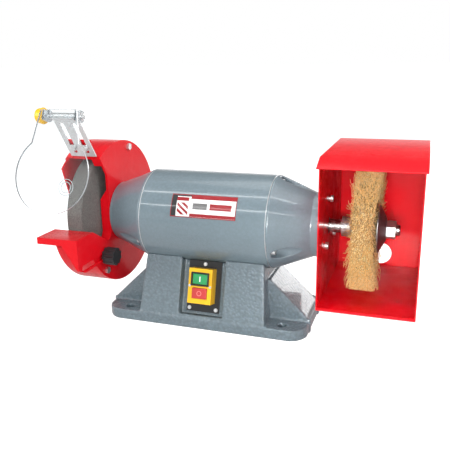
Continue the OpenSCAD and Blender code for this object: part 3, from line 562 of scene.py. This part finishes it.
@dataclass(frozen=True)
class Floor(Finish):
    """Plain white floor that gives back a little light, with a painted shadow, dark and unlit, where the
    base's bolt holes stand.
    """

    hole: tuple[float, float]
    hole_shadow_reach: float = 0.011
    glow: float = 0.25
    seen_glow: float = 0.62

    def dress(self, graph: Graph) -> None:
        """Builds the floor."""
        clouds = graph.noise(3.0, 3.0, 0.5)
        seen = Value(graph, graph.node("ShaderNodeLightPath").outputs[0])
        along_x, along_y, _ = graph.axes()
        from_x, from_y = along_x.size() - self.hole[0], along_y.size() - self.hole[1]
        # painted shadow: a dark disc without glow on the floor under each of the base's bolt holes
        outside_hole_shadow = from_x * from_x + from_y * from_y > self.hole_shadow_reach**2
        glow = (seen * self.seen_glow + self.glow) * outside_hole_shadow
        graph.surface(
            {
                "Base Color": graph.blend(outside_hole_shadow - clouds * 0.02, shade(self.colour, 0.04), self.colour),
                "Roughness": self.roughness,
                "Specular IOR Level": 0.0,
                "Emission Color": graph.blend(glow, (0.0, 0.0, 0.0), (1.0, 1.0, 1.0)),
                "Emission Strength": 1.0,
            }
        )


def hub_height() -> float:
    """Height of the shaft's axis."""
    low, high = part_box("shaft")
    return (low.z + high.z) / 2


CAST_GREY = (0.168, 0.226, 0.258)
RED = (0.70, 0.003, 0.010)

FINISHES: dict[Slot, Finish] = {
    Slot.CAST_PAINT: Paint("cast_paint", CAST_GREY, 0.24, pebble=250.0, height=0.0011, coat=0.5, mottle=0.30),
    Slot.RED_PAINT: Paint(
        "red_paint", RED, 0.20, pebble=420.0, height=0.00003, coat=0.16, grime=0.06, gleam=0.14, mottle=0.06
    ),
    Slot.ZINC: Metal("zinc", (0.74, 0.75, 0.76), 0.22, stain=(0.62, 0.60, 0.52)),
    Slot.SHAFT_STEEL: Metal("shaft_steel", (0.36, 0.35, 0.34), 0.14, wear=0.5),
    Slot.BEARING_STEEL: Metal("bearing_steel", (0.72, 0.73, 0.74), 0.10, wear=0.1),
    Slot.DARK_STEEL: Metal("dark_steel", (0.26, 0.265, 0.27), 0.26, stain=(0.16, 0.15, 0.14), wear=0.6),
    Slot.CORE_STEEL: Metal("core_steel", (0.30, 0.30, 0.31), 0.40, grain=(1800.0, 40.0, 40.0)),
    Slot.ROTOR_ALUMINIUM: Metal("rotor_aluminium", (0.70, 0.71, 0.72), 0.42, stain=(0.5, 0.5, 0.5)),
    Slot.COPPER: Metal("copper", (0.62, 0.26, 0.11), 0.25, grain=(40.0, 1500.0, 1500.0), depth=0.0002),
    Slot.CAGE_BRASS: Metal("cage_brass", (0.70, 0.48, 0.18), 0.24),
    Slot.BRASS_WIRE: BrassWire("brass_wire", (0.96, 0.58, 0.17), 0.42),
    Slot.ABRASIVE: Grit("abrasive", (0.140, 0.136, 0.128), 0.95),
    Slot.BLOTTER_CARD: Card("blotter_card", (0.62, 0.52, 0.30), 0.85),
    Slot.BUSH_PLASTIC: Plastic("bush_plastic", (0.72, 0.68, 0.58), 0.45),
    Slot.BLACK_PLASTIC: Plastic("black_plastic", (0.015, 0.016, 0.018), 0.30, depth=0.00008),
    Slot.YELLOW_PLASTIC: Plastic("yellow_plastic", (0.90, 0.50, 0.004), 0.28, gloss=0.3),
    Slot.GREEN_PLASTIC: Plastic("green_plastic", (0.012, 0.30, 0.085), 0.25, gloss=0.5),
    Slot.RED_PLASTIC: Plastic("red_plastic", (0.56, 0.035, 0.030), 0.25, gloss=0.5),
    Slot.WHITE_PLASTIC: Plastic("white_plastic", (0.85, 0.85, 0.84), 0.35, gloss=0.2),
    Slot.SEAL_RUBBER: Plastic("seal_rubber", (0.02, 0.02, 0.02), 0.75, grain=500.0),
    Slot.CLEAR_SHEET: ClearSheet("clear_sheet", (0.9, 0.93, 0.94), 0.03),
}

SMOOTH_CAST = Paint(
    "smooth_cast_paint", CAST_GREY, 0.22, pebble=260.0, height=0.00007, coat=0.7, grime=0.06, gleam=0.4
)
SHEET_EDGE = Plastic("clear_sheet_edge", (0.42, 0.45, 0.47), 0.2, gloss=0.6)
STOP_MARK = Plastic("stop_mark", (0.80, 0.22, 0.20), 0.4, gloss=0.2)
# painted shade: the brass wire's finish darkened, without glow, for the shaded mass of wires deep in the
# brush
BRUSH_CORE_SHADE = BrassWire("brush_core_shade", (0.24, 0.10, 0.015), 0.6, glint=0.0)


# ---------------------------------------------------------------- pieces


def body_of(node: str) -> str:
    """The body that a CAD node belongs to."""
    bodies = frame["record"]["behaviour"]["bodies"]
    return next(name for name, nodes in bodies.items() if node in nodes)


def slot_of(node: str) -> Slot:
    """The material slot of a CAD node."""
    return Slot(next(s["material_slot"] for s in frame["record"]["subparts"] if s["node"] == node))


def new_piece(
    name: str, verts: Sequence[Point], faces: Sequence[Sequence[int]], finish: Finish
) -> bpy.types.Object:
    """Makes a smooth-shaded mesh object with one finish.

    Args:
        name: The piece's name.
        verts: Its points in metres.
        faces: Its faces as rows of point numbers.
        finish: What covers it.

    Returns:
        The object, linked to the scene.
    """
    mesh = bpy.data.meshes.new(name)
    mesh.from_pydata([tuple(v) for v in verts], [], [tuple(f) for f in faces])
    mesh.polygons.foreach_set("use_smooth", [True] * len(mesh.polygons))
    mesh.materials.append(finish.material())
    piece = bpy.data.objects.new(name, mesh)
    bpy.context.scene.collection.objects.link(piece)
    return piece


def settle(piece: bpy.types.Object) -> None:
    """Turns a piece's modifiers into its mesh."""
    graph = bpy.context.evaluated_depsgraph_get()
    mesh = bpy.data.meshes.new_from_object(piece.evaluated_get(graph))
    piece.modifiers.clear()
    piece.data = mesh


def fit_piece(piece: bpy.types.Object, body: str, replaced: Sequence[str] = ()) -> None:
    """Puts a piece on its body and hides the CAD nodes that it stands for.

    Args:
        piece: The piece, already in place.
        body: The CAD body that it moves with.
        replaced: The CAD nodes that it stands for.
    """
    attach(piece, body)
    if replaced:
        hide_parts(*replaced)
    LOG.info("%s rides on %s", piece.name, body)


def copy_node(node: str, name: str, finish: Finish) -> bpy.types.Object:
    """A new object with a copy of a CAD node's mesh, its coplanar triangles joined."""
    mesh = frame["nodes"][node].data.copy()
    mesh.name = name
    mesh.materials.clear()
    mesh.materials.append(finish.material())
    cut = bmesh.new()
    cut.from_mesh(mesh)
    bmesh.ops.remove_doubles(cut, verts=cut.verts, dist=0.00001)
    bmesh.ops.dissolve_limit(cut, angle_limit=math.radians(0.6), verts=cut.verts, edges=cut.edges)
    for face in cut.faces:
        face.material_index = 0
        face.smooth = True
    cut.to_mesh(mesh)
    cut.free()
    for name_of_layer in ("custom_normal", "sharp_face", "sharp_edge"):
        layer = mesh.attributes.get(name_of_layer)
        if layer:
            mesh.attributes.remove(layer)
    piece = bpy.data.objects.new(name, mesh)
    bpy.context.scene.collection.objects.link(piece)
    return piece


@dataclass(frozen=True)
class CastEdge:
    """Rounds every edge of a casting, as sand moulding and paint do."""

    voxel: float = 0.0013
    rounds: int = 8
    keep: float = 0.35

    def apply(self, node: str, finish: Finish) -> None:
        """Replaces a CAD node by its rounded copy.

        Args:
            node: The CAD node.
            finish: What covers the copy.
        """
        piece = copy_node(node, node + "_cast", finish)
        remesh = piece.modifiers.new("skin", "REMESH")
        remesh.mode = "VOXEL"
        remesh.voxel_size = self.voxel
        remesh.use_smooth_shade = True
        smooth = piece.modifiers.new("round", "SMOOTH")
        smooth.factor = 0.5
        smooth.iterations = self.rounds
        thin = piece.modifiers.new("thin", "DECIMATE")
        thin.ratio = self.keep
        settle(piece)
        fit_piece(piece, body_of(node), [node])


@dataclass(frozen=True)
class EasedEdge:
    """Takes the sharpness off a pressed, machined or moulded part's edges."""

    width: float = 0.0005
    segments: int = 2
    angle: float = math.radians(35)

    def apply(self, node: str, finish: Finish) -> None:
        """Replaces a CAD node by a copy with eased edges.

        Args:
            node: The CAD node.
            finish: What covers the copy.
        """
        piece = copy_node(node, node + "_eased", finish)
        bevel = piece.modifiers.new("ease", "BEVEL")
        bevel.width = self.width
        bevel.segments = self.segments
        bevel.limit_method = "ANGLE"
        bevel.angle_limit = self.angle
        bevel.harden_normals = True
        bevel.use_clamp_overlap = True
        settle(piece)
        fit_piece(piece, body_of(node), [node])


def turned_piece(
    name: str, profile: Sequence[tuple[float, float]], finish: Finish, sides: int = 96
) -> bpy.types.Object:
    """A closed body turned about the shaft's axis.

    Args:
        name: The piece's name.
        profile: Points as (radius, x) of a closed outline.
        finish: What covers it.
        sides: How many steps the turn has.

    Returns:
        The piece.
    """
    height = hub_height()
    verts, faces, count = [], [], len(profile)
    for step in range(sides):
        turn = 2 * math.pi * step / sides
        for radius, x in profile:
            verts.append((x, radius * math.cos(turn), height + radius * math.sin(turn)))
    for step in range(sides):
        here, there = step * count, (step + 1) % sides * count
        for i in range(count):
            j = (i + 1) % count
            faces.append((here + i, here + j, there + j, there + i))
    return new_piece(name, verts, faces, finish)


def bundle(paths: np.ndarray, radii: np.ndarray, sides: int) -> tuple[np.ndarray, np.ndarray]:
    """Skins many thin strands at once.

    Args:
        paths: Points of each strand, as strands by points by 3.
        radii: The radius of each strand at each point.
        sides: How many sides a strand has.

    Returns:
        The points and the quads of all strands.
    """
    count, length, _ = paths.shape
    along = np.gradient(paths, axis=1)
    along /= np.linalg.norm(along, axis=2, keepdims=True)
    guide = np.zeros_like(along)
    guide[..., 0] = 1.0
    flat = np.abs(along[..., 0]) > 0.9
    guide[flat] = (0.0, 0.0, 1.0)
    side = np.cross(along, guide)
    side /= np.linalg.norm(side, axis=2, keepdims=True)
    other = np.cross(along, side)
    turns = 2 * np.pi * np.arange(sides) / sides
    rings = (
        paths[:, :, None, :]
        + radii[:, :, None, None] * (np.cos(turns)[None, None, :, None] * side[:, :, None, :]
        + np.sin(turns)[None, None, :, None] * other[:, :, None, :])
    )
    verts = rings.reshape(-1, 3)
    strand = np.arange(count)[:, None, None] * length * sides
    row = np.arange(length - 1)[None, :, None] * sides
    here = np.arange(sides)[None, None, :]
    there = (here + 1) % sides
    base = strand + row
    quads = np.stack([base + here, base + there, base + sides + there, base + sides + here], axis=-1)
    return verts, quads.reshape(-1, 4)


# ---------------------------------------------------------------- sub-assemblies


@dataclass
class Castings:
    """The base and the motor's housing."""

    base_edge: CastEdge = field(default_factory=lambda: CastEdge(0.0013, 10, 0.3))
    bell_edge: CastEdge = field(default_factory=lambda: CastEdge(0.0010, 4, 0.35))
    seam_width: float = 0.0008
    seam_depth: float = 0.001
    seam_proud: float = 0.00012

    def build(self) -> None:
        """Builds the base, both bells, the motor's seams and its plate."""
        self.base_edge.apply("base_casting", FINISHES[Slot.CAST_PAINT])
        for node in ("end_bell_left", "end_bell_right"):
            self.bell_edge.apply(node, SMOOTH_CAST)
        frame["nodes"]["motor_shell"].material_slots[0].material = SMOOTH_CAST.material()
        self.seams()
        self.plate()

    def seams(self) -> None:
        """Adds the bare metal line where each bell meets the shell."""
        low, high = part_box("motor_shell")
        radius = (high.y - low.y) / 2
        for side, x in (("left", low.x), ("right", high.x)):
            half, top, foot = self.seam_width / 2, radius + self.seam_proud, radius - self.seam_depth
            profile = [(foot, x - half), (top, x - half), (top, x + half), (foot, x + half)]
            piece = turned_piece(f"seam_{side}", profile, FINISHES[Slot.ZINC], 128)
            fit_piece(piece, body_of("motor_shell"))

    def plate(self) -> None:
        """Prints the plate on the motor."""
        low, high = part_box("name_plate")
        ends = {"low": tuple(low), "high": tuple(high), "axis_z": hub_height()}
        art = PlateArt("plate_art", (0.86, 0.86, 0.85), 0.28, **ends)
        frame["nodes"]["name_plate"].material_slots[0].material = art.material()


@dataclass
class SwitchGroup:
    """The push-button switch on the pillar's front."""

    edge: EasedEdge = field(default_factory=lambda: EasedEdge(0.0009, 3))
    fine_edge: EasedEdge = field(default_factory=lambda: EasedEdge(0.0005, 2))

    def build(self) -> None:
        """Eases the moulded parts' edges."""
        for node in ("switch_housing", "start_button", "stop_button"):
            self.edge.apply(node, FINISHES[slot_of(node)])
        for node in ("switch_plate", "switch_collar"):
            self.fine_edge.apply(node, FINISHES[slot_of(node)])
        frame["nodes"]["stop_symbol"].material_slots[0].material = STOP_MARK.material()


@dataclass
class WheelEnd:
    """The grinding wheel, its guard, the tool rest and the spark guard."""

    sheet_edge: EasedEdge = field(default_factory=lambda: EasedEdge(0.0006, 2))
    knob_edge: EasedEdge = field(default_factory=lambda: EasedEdge(0.0008, 3))

    def build(self) -> None:
        """Eases the pressed and moulded parts' edges."""
        for node in ("guard_back", "guard_cover", "tool_rest", "spark_guard"):
            self.sheet_edge.apply(node, FINISHES[slot_of(node)])
        for node in ("tool_rest_knob", "shield_knob"):
            self.knob_edge.apply(node, FINISHES[slot_of(node)])


@dataclass
class EyeShield:
    """The clear shield, its edge and its round mark."""

    ring_radii: tuple[float, ...] = (0.0115, 0.0075)
    ring_width: float = 0.0010
    ring_steps: int = 64
    mark_shift: tuple[float, float] = (0.027, -0.005)
    rim_reach: float = 0.09
    rim_lean: float = 0.4

    def build(self) -> None:
        """Builds the sheet with its visible edges, then the rings on it."""
        piece = copy_node("eye_shield", "eye_shield_sheet", FINISHES[Slot.CLEAR_SHEET])
        piece.data.materials.append(SHEET_EDGE.material())
        faces = piece.data.polygons
        largest = max(faces, key=lambda face: face.area)
        facing = largest.normal.copy()
        for face in faces:
            below_ears = face.center.z < largest.center.z + self.rim_reach
            if below_ears and abs(face.normal.dot(facing)) < self.rim_lean:
                face.material_index = 1
            face.use_smooth = False
        fit_piece(piece, "eye_shield", ["eye_shield"])
        self.rings(largest.center.copy(), facing)

    def rings(self, centre: Vector, facing: Vector) -> None:
        """Adds a plain mark of raised rings.

        Args:
            centre: The middle of the sheet's large face.
            facing: The face's normal.
        """
        across = Vector((1, 0, 0))
        up = facing.cross(across).normalized()
        up = up if up.z > 0 else -up
        centre = centre + across * self.mark_shift[0] + up * self.mark_shift[1]
        for number, radius in enumerate(self.ring_radii):
            turns = [2 * math.pi * i / self.ring_steps for i in range(self.ring_steps + 1)]
            spokes = [across * math.cos(turn) + up * math.sin(turn) for turn in turns]
            path = np.array([[centre + spoke * radius for spoke in spokes]])
            verts, quads = bundle(path, np.full((1, len(turns)), self.ring_width / 2), 6)
            piece = new_piece(f"shield_ring_{number}", verts, quads, SHEET_EDGE)
            fit_piece(piece, "eye_shield")


@dataclass
class BrushBox:
    """The folded sheet box round the brush."""

    edge: EasedEdge = field(default_factory=lambda: EasedEdge(0.0006, 2))

    def build(self) -> None:
        """Eases the box's folds."""
        for node in ("brush_box", "brush_box_roof"):
            self.edge.apply(node, FINISHES[Slot.RED_PAINT])


@dataclass
class WireBrush:
    """The wire brush: thousands of crimped wires round a core dark with painted shade, and its flanges."""

    strands: int = 7400
    points: int = 14
    wire_radius: float = 0.00030
    crimp: float = 0.0009
    crimp_pitch: float = 0.0062
    roots: tuple[float, float] = (0.031, 0.038)
    ragged: float = 0.0022
    shortest: float = 0.009
    fan: float = 0.0034
    lean: float = 0.09
    wild_share: float = 0.16
    stray: tuple[float, float] = (0.006, 0.005)
    bore_r: float = 0.0082
    hub_r: float = 0.030
    shoulder_r: float = 0.034
    core_inset: float = 0.0035
    skin: float = 0.0002
    collar_bore: float = 0.0101
    collar_r: float = 0.0150
    groove_r: float = 0.0128
    groove_half: tuple[float, float] = (0.0006, 0.0003)
    collar_pitch: float = 0.0026
    collar_rings: int = 5
    thread_r: float = 0.0080
    thread_pitch: float = 0.0015
    thread_ridge: float = 0.00045
    thread_ends: tuple[float, float] = (0.0004, 0.0012)
    steps_per_turn: int = 40
    seed: int = 11

    def build(self) -> None:
        """Builds the core, the wires and the thread beyond the nut."""
        low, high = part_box("wire_brush")
        rim = (high.z - low.z) / 2
        self.collar(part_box("brush_inner_flange")[0].x)
        self.core(low.x, high.x, rim)
        self.wires(low.x, high.x, rim)
        self.thread()
        for node in ("brush_outer_flange", "brush_inner_flange", "brush_nut"):
            EasedEdge(0.0006, 2).apply(node, FINISHES[slot_of(node)])

    def collar(self, x1: float) -> None:
        """Adds the grooved collar between the shaft's shoulder and the inner flange.

        Args:
            x1: Where the collar ends.
        """
        outer, groove, bore, clear = self.collar_r, self.groove_r, self.collar_bore, self.skin / 2
        wide, narrow = self.groove_half
        x0 = x1 - self.collar_pitch * self.collar_rings
        profile = [(bore, x0), (outer, x0)]
        for i in range(1, self.collar_rings):
            x = x0 + self.collar_pitch * i
            profile += [(outer, x - wide), (groove, x - narrow), (groove, x + narrow), (outer, x + wide)]
        profile += [(outer, x1 - clear), (bore, x1 - clear)]
        piece = turned_piece("brush_collar", profile, FINISHES[Slot.ZINC], 64)
        fit_piece(piece, "rotor")

    def core(self, x0: float, x1: float, rim: float) -> None:
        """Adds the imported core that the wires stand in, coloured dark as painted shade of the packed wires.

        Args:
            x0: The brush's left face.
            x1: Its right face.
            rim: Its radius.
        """
        outer, inset, skin = rim - self.shortest, self.core_inset, self.skin
        left = [(self.bore_r, skin), (self.hub_r, skin), (self.shoulder_r, inset), (outer, inset)]
        profile = [(r, x0 + x) for r, x in left] + [(r, x1 - x) for r, x in reversed(left)]
        piece = turned_piece("brush_core_shade", profile, BRUSH_CORE_SHADE, 96)
        fit_piece(piece, "rotor", ["wire_brush"])

    def wires(self, x0: float, x1: float, rim: float) -> None:
        """Adds the crimped wires.

        Args:
            x0: The brush's left face.
            x1: Its right face.
            rim: Its radius.
        """
        draw = np.random.default_rng(self.seed)
        count, height = self.strands, hub_height()
        middle, half = (x0 + x1) / 2, (x1 - x0) / 2
        turn = draw.uniform(0, 2 * np.pi, count)
        root = draw.uniform(*self.roots, count)
        tip = rim - np.abs(draw.normal(0, self.ragged, count))
        tip = np.clip(tip, rim - self.shortest, rim)
        place = draw.uniform(-1, 1, count)
        place = np.sign(place) * np.abs(place) ** 0.7
        fan = draw.normal(0, self.fan, count)
        lean = draw.normal(0, self.lean, count)
        wild = draw.uniform(0, 1, count) < self.wild_share
        fan[wild] *= 1.8
        lean[wild] *= 2.0
        step = np.linspace(0, 1, self.points)[None, :]
        radius = root[:, None] + (tip - root)[:, None] * step
        phase = draw.uniform(0, 2 * np.pi, count)[:, None]
        wave_turn = draw.uniform(0, 2 * np.pi, count)[:, None]
        wave = self.crimp * np.sin(radius / self.crimp_pitch * 2 * np.pi + phase) * np.minimum(1, step * 4)
        widen = (half - self.ragged) * (0.86 + 0.14 * step)
        x = middle + place[:, None] * widen + fan[:, None] * step**1.6
        x = np.clip(x + wave * np.cos(wave_turn), x0 - self.stray[0], x1 + self.stray[1])
        angle = turn[:, None] + lean[:, None] * step**1.5 + wave * np.sin(wave_turn) / radius
        paths = np.stack([x, radius * np.cos(angle), height + radius * np.sin(angle)], axis=-1)
        radii = np.full(radius.shape, self.wire_radius)
        verts, quads = bundle(paths, radii, 3)
        piece = new_piece("brush_wires", verts.tolist(), quads.tolist(), FINISHES[Slot.BRASS_WIRE])
        fit_piece(piece, "rotor")

    def thread(self) -> None:
        """Adds the thread that stands out of the brush's nut."""
        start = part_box("brush_nut")[1].x + self.thread_ends[0]
        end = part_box("shaft")[1].x - self.thread_ends[1]
        radius, height = self.thread_r, hub_height()
        turns = (end - start) / self.thread_pitch
        steps = int(turns * self.steps_per_turn)
        path = []
        for i in range(steps + 1):
            angle = 2 * math.pi * turns * i / steps
            x = start + (end - start) * i / steps
            path.append((x, radius * math.cos(angle), height + radius * math.sin(angle)))
        verts, quads = bundle(np.array([path]), np.full((1, len(path)), self.thread_ridge), 4)
        piece = new_piece("brush_thread", verts, quads, FINISHES[Slot.SHAFT_STEEL])
        fit_piece(piece, "rotor")


# ---------------------------------------------------------------- studio


@dataclass(frozen=True)
class Camera:
    """The camera, placed round a target by angles."""

    target: Point = (0.0253, 0.0, 0.15955)
    azimuth: float = math.radians(18.94)
    elevation: float = math.radians(15.51)
    roll: float = math.radians(-0.94)
    distance: float = 0.92062
    lens: float = 46.44
    shift: tuple[float, float] = (-0.0079, -0.0128)

    def build(self) -> None:
        """Adds the camera and makes it the scene's."""
        away = Vector((
            math.sin(self.azimuth) * math.cos(self.elevation),
            -math.cos(self.azimuth) * math.cos(self.elevation),
            math.sin(self.elevation),
        ))
        level = Vector((math.cos(self.azimuth), math.sin(self.azimuth), 0.0))
        lift = away.cross(level)
        right = level * math.cos(self.roll) + lift * math.sin(self.roll)
        up = away.cross(right)
        data = bpy.data.cameras.new("camera")
        data.lens, data.sensor_width = self.lens, 36.0
        data.shift_x, data.shift_y = self.shift
        data.clip_start = 0.01
        camera = bpy.data.objects.new("camera", data)
        turn = Matrix((right, up, away)).transposed().to_4x4()
        camera.matrix_world = Matrix.Translation(Vector(self.target) + away * self.distance) @ turn
        bpy.context.scene.collection.objects.link(camera)
        bpy.context.scene.camera = camera


@dataclass(frozen=True)
class Softbox:
    """One rectangular studio light."""

    name: str
    place: Point
    aim: Point
    size: tuple[float, float]
    power: float
    spread: float = 180.0

    def build(self) -> None:
        """Adds the light, facing its aim."""
        data = bpy.data.lights.new(self.name, "AREA")
        data.shape = "RECTANGLE"
        data.size, data.size_y = self.size
        data.energy = self.power
        data.spread = math.radians(self.spread)
        light = bpy.data.objects.new(self.name, data)
        light.location = self.place
        light.rotation_euler = (Vector(self.aim) - Vector(self.place)).to_track_quat("-Z", "Y").to_euler()
        bpy.context.scene.collection.objects.link(light)


@dataclass
class Studio:
    """The floor, the sky and the lights."""

    lights: tuple[Softbox, ...] = (
        Softbox("top_softbox", (0.2, 0.2, 1.5), (0.05, 0.0, 0.1), (1.6, 0.8), 5.0),
        Softbox("high_strip", (0.05, -0.42, 1.55), (0.0, 0.0, 0.15), (2.0, 0.09), 5.5),
        Softbox("front_strip", (0.05, -1.15, 1.0), (0.0, 0.0, 0.15), (2.0, 0.07), 5.0),
        Softbox("key_softbox", (0.42, -1.3, 0.5), (0.25, 0.0, 0.15), (0.6, 0.6), 7.5),
        Softbox("left_softbox", (-1.4, -0.9, 0.9), (0.0, 0.0, 0.15), (0.6, 0.9), 9.0),
        Softbox("right_softbox", (1.3, -0.3, 1.0), (0.0, 0.0, 0.15), (0.6, 0.6), 8.0),
        Softbox("box_softbox", (0.30, -1.1, 0.36), (0.31, 0.0, 0.14), (0.22, 0.22), 0.30, 24.0),
        Softbox("back_softbox", (0.75, 1.3, 0.5), (0.13, 0.0, 0.1), (0.7, 0.5), 7.0),
    )
    floor_half: float = 30.0
    hole_inset: tuple[float, float] = (0.038, 0.018)
    sky_tones: tuple[tuple[float, float], ...] = (
        (0.0, 1.0), (0.18, 1.0), (0.30, 0.30), (0.60, 0.22), (0.80, 0.5), (1.0, 0.6),
    )

    def build(self) -> None:
        """Adds the floor, the lights, the sky and the camera."""
        half = self.floor_half
        corners = [(-half, -half, 0), (half, -half, 0), (half, half, 0), (-half, half, 0)]
        low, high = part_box("base_casting")
        hole = ((high.x - low.x) / 2 - self.hole_inset[0], (high.y - low.y) / 2 - self.hole_inset[1])
        paint = Floor("floor_paint", (0.5, 0.5, 0.5), 0.9, hole=hole)
        floor = new_piece("floor", corners, [(0, 1, 2, 3)], paint)
        for light in self.lights:
            light.build()
        self.sky()
        Camera().build()
        bpy.context.scene.view_settings.view_transform = "Standard"

    def sky(self) -> None:
        """Makes a sky that is bright at the horizon and overhead, and greyer between."""
        world = bpy.data.worlds.new("studio")
        graph = Graph(world, "World")
        place = graph.node("ShaderNodeTexCoord").outputs["Generated"]
        split = graph.node("ShaderNodeSeparateXYZ", None, {0: place})
        stops = [(height, (tone, tone, tone)) for height, tone in self.sky_tones]
        ramp = graph.node("ShaderNodeValToRGB", {"stops": stops}, {0: split.outputs[2]})
        back = graph.node("ShaderNodeBackground", None, {0: ramp.outputs[0]})
        graph.tree.links.new(back.outputs[0], graph.output.inputs[0])
        bpy.context.scene.world = world


def dress_nodes() -> None:
    """Gives every CAD node its finish."""
    for node, piece in frame["nodes"].items():
        material = FINISHES[slot_of(node)].material()
        for material_slot in piece.material_slots:
            material_slot.material = material


def main() -> None:
    """Builds the studio, then every sub-assembly in order."""
    logging.basicConfig(level=logging.INFO, format="%(message)s")
    Studio().build()
    dress_nodes()
    for part in (Castings(), SwitchGroup(), WheelEnd(), EyeShield(), BrushBox(), WireBrush()):
        LOG.info("building %s", type(part).__name__)
        part.build()


if __name__ == "__main__":
    main()
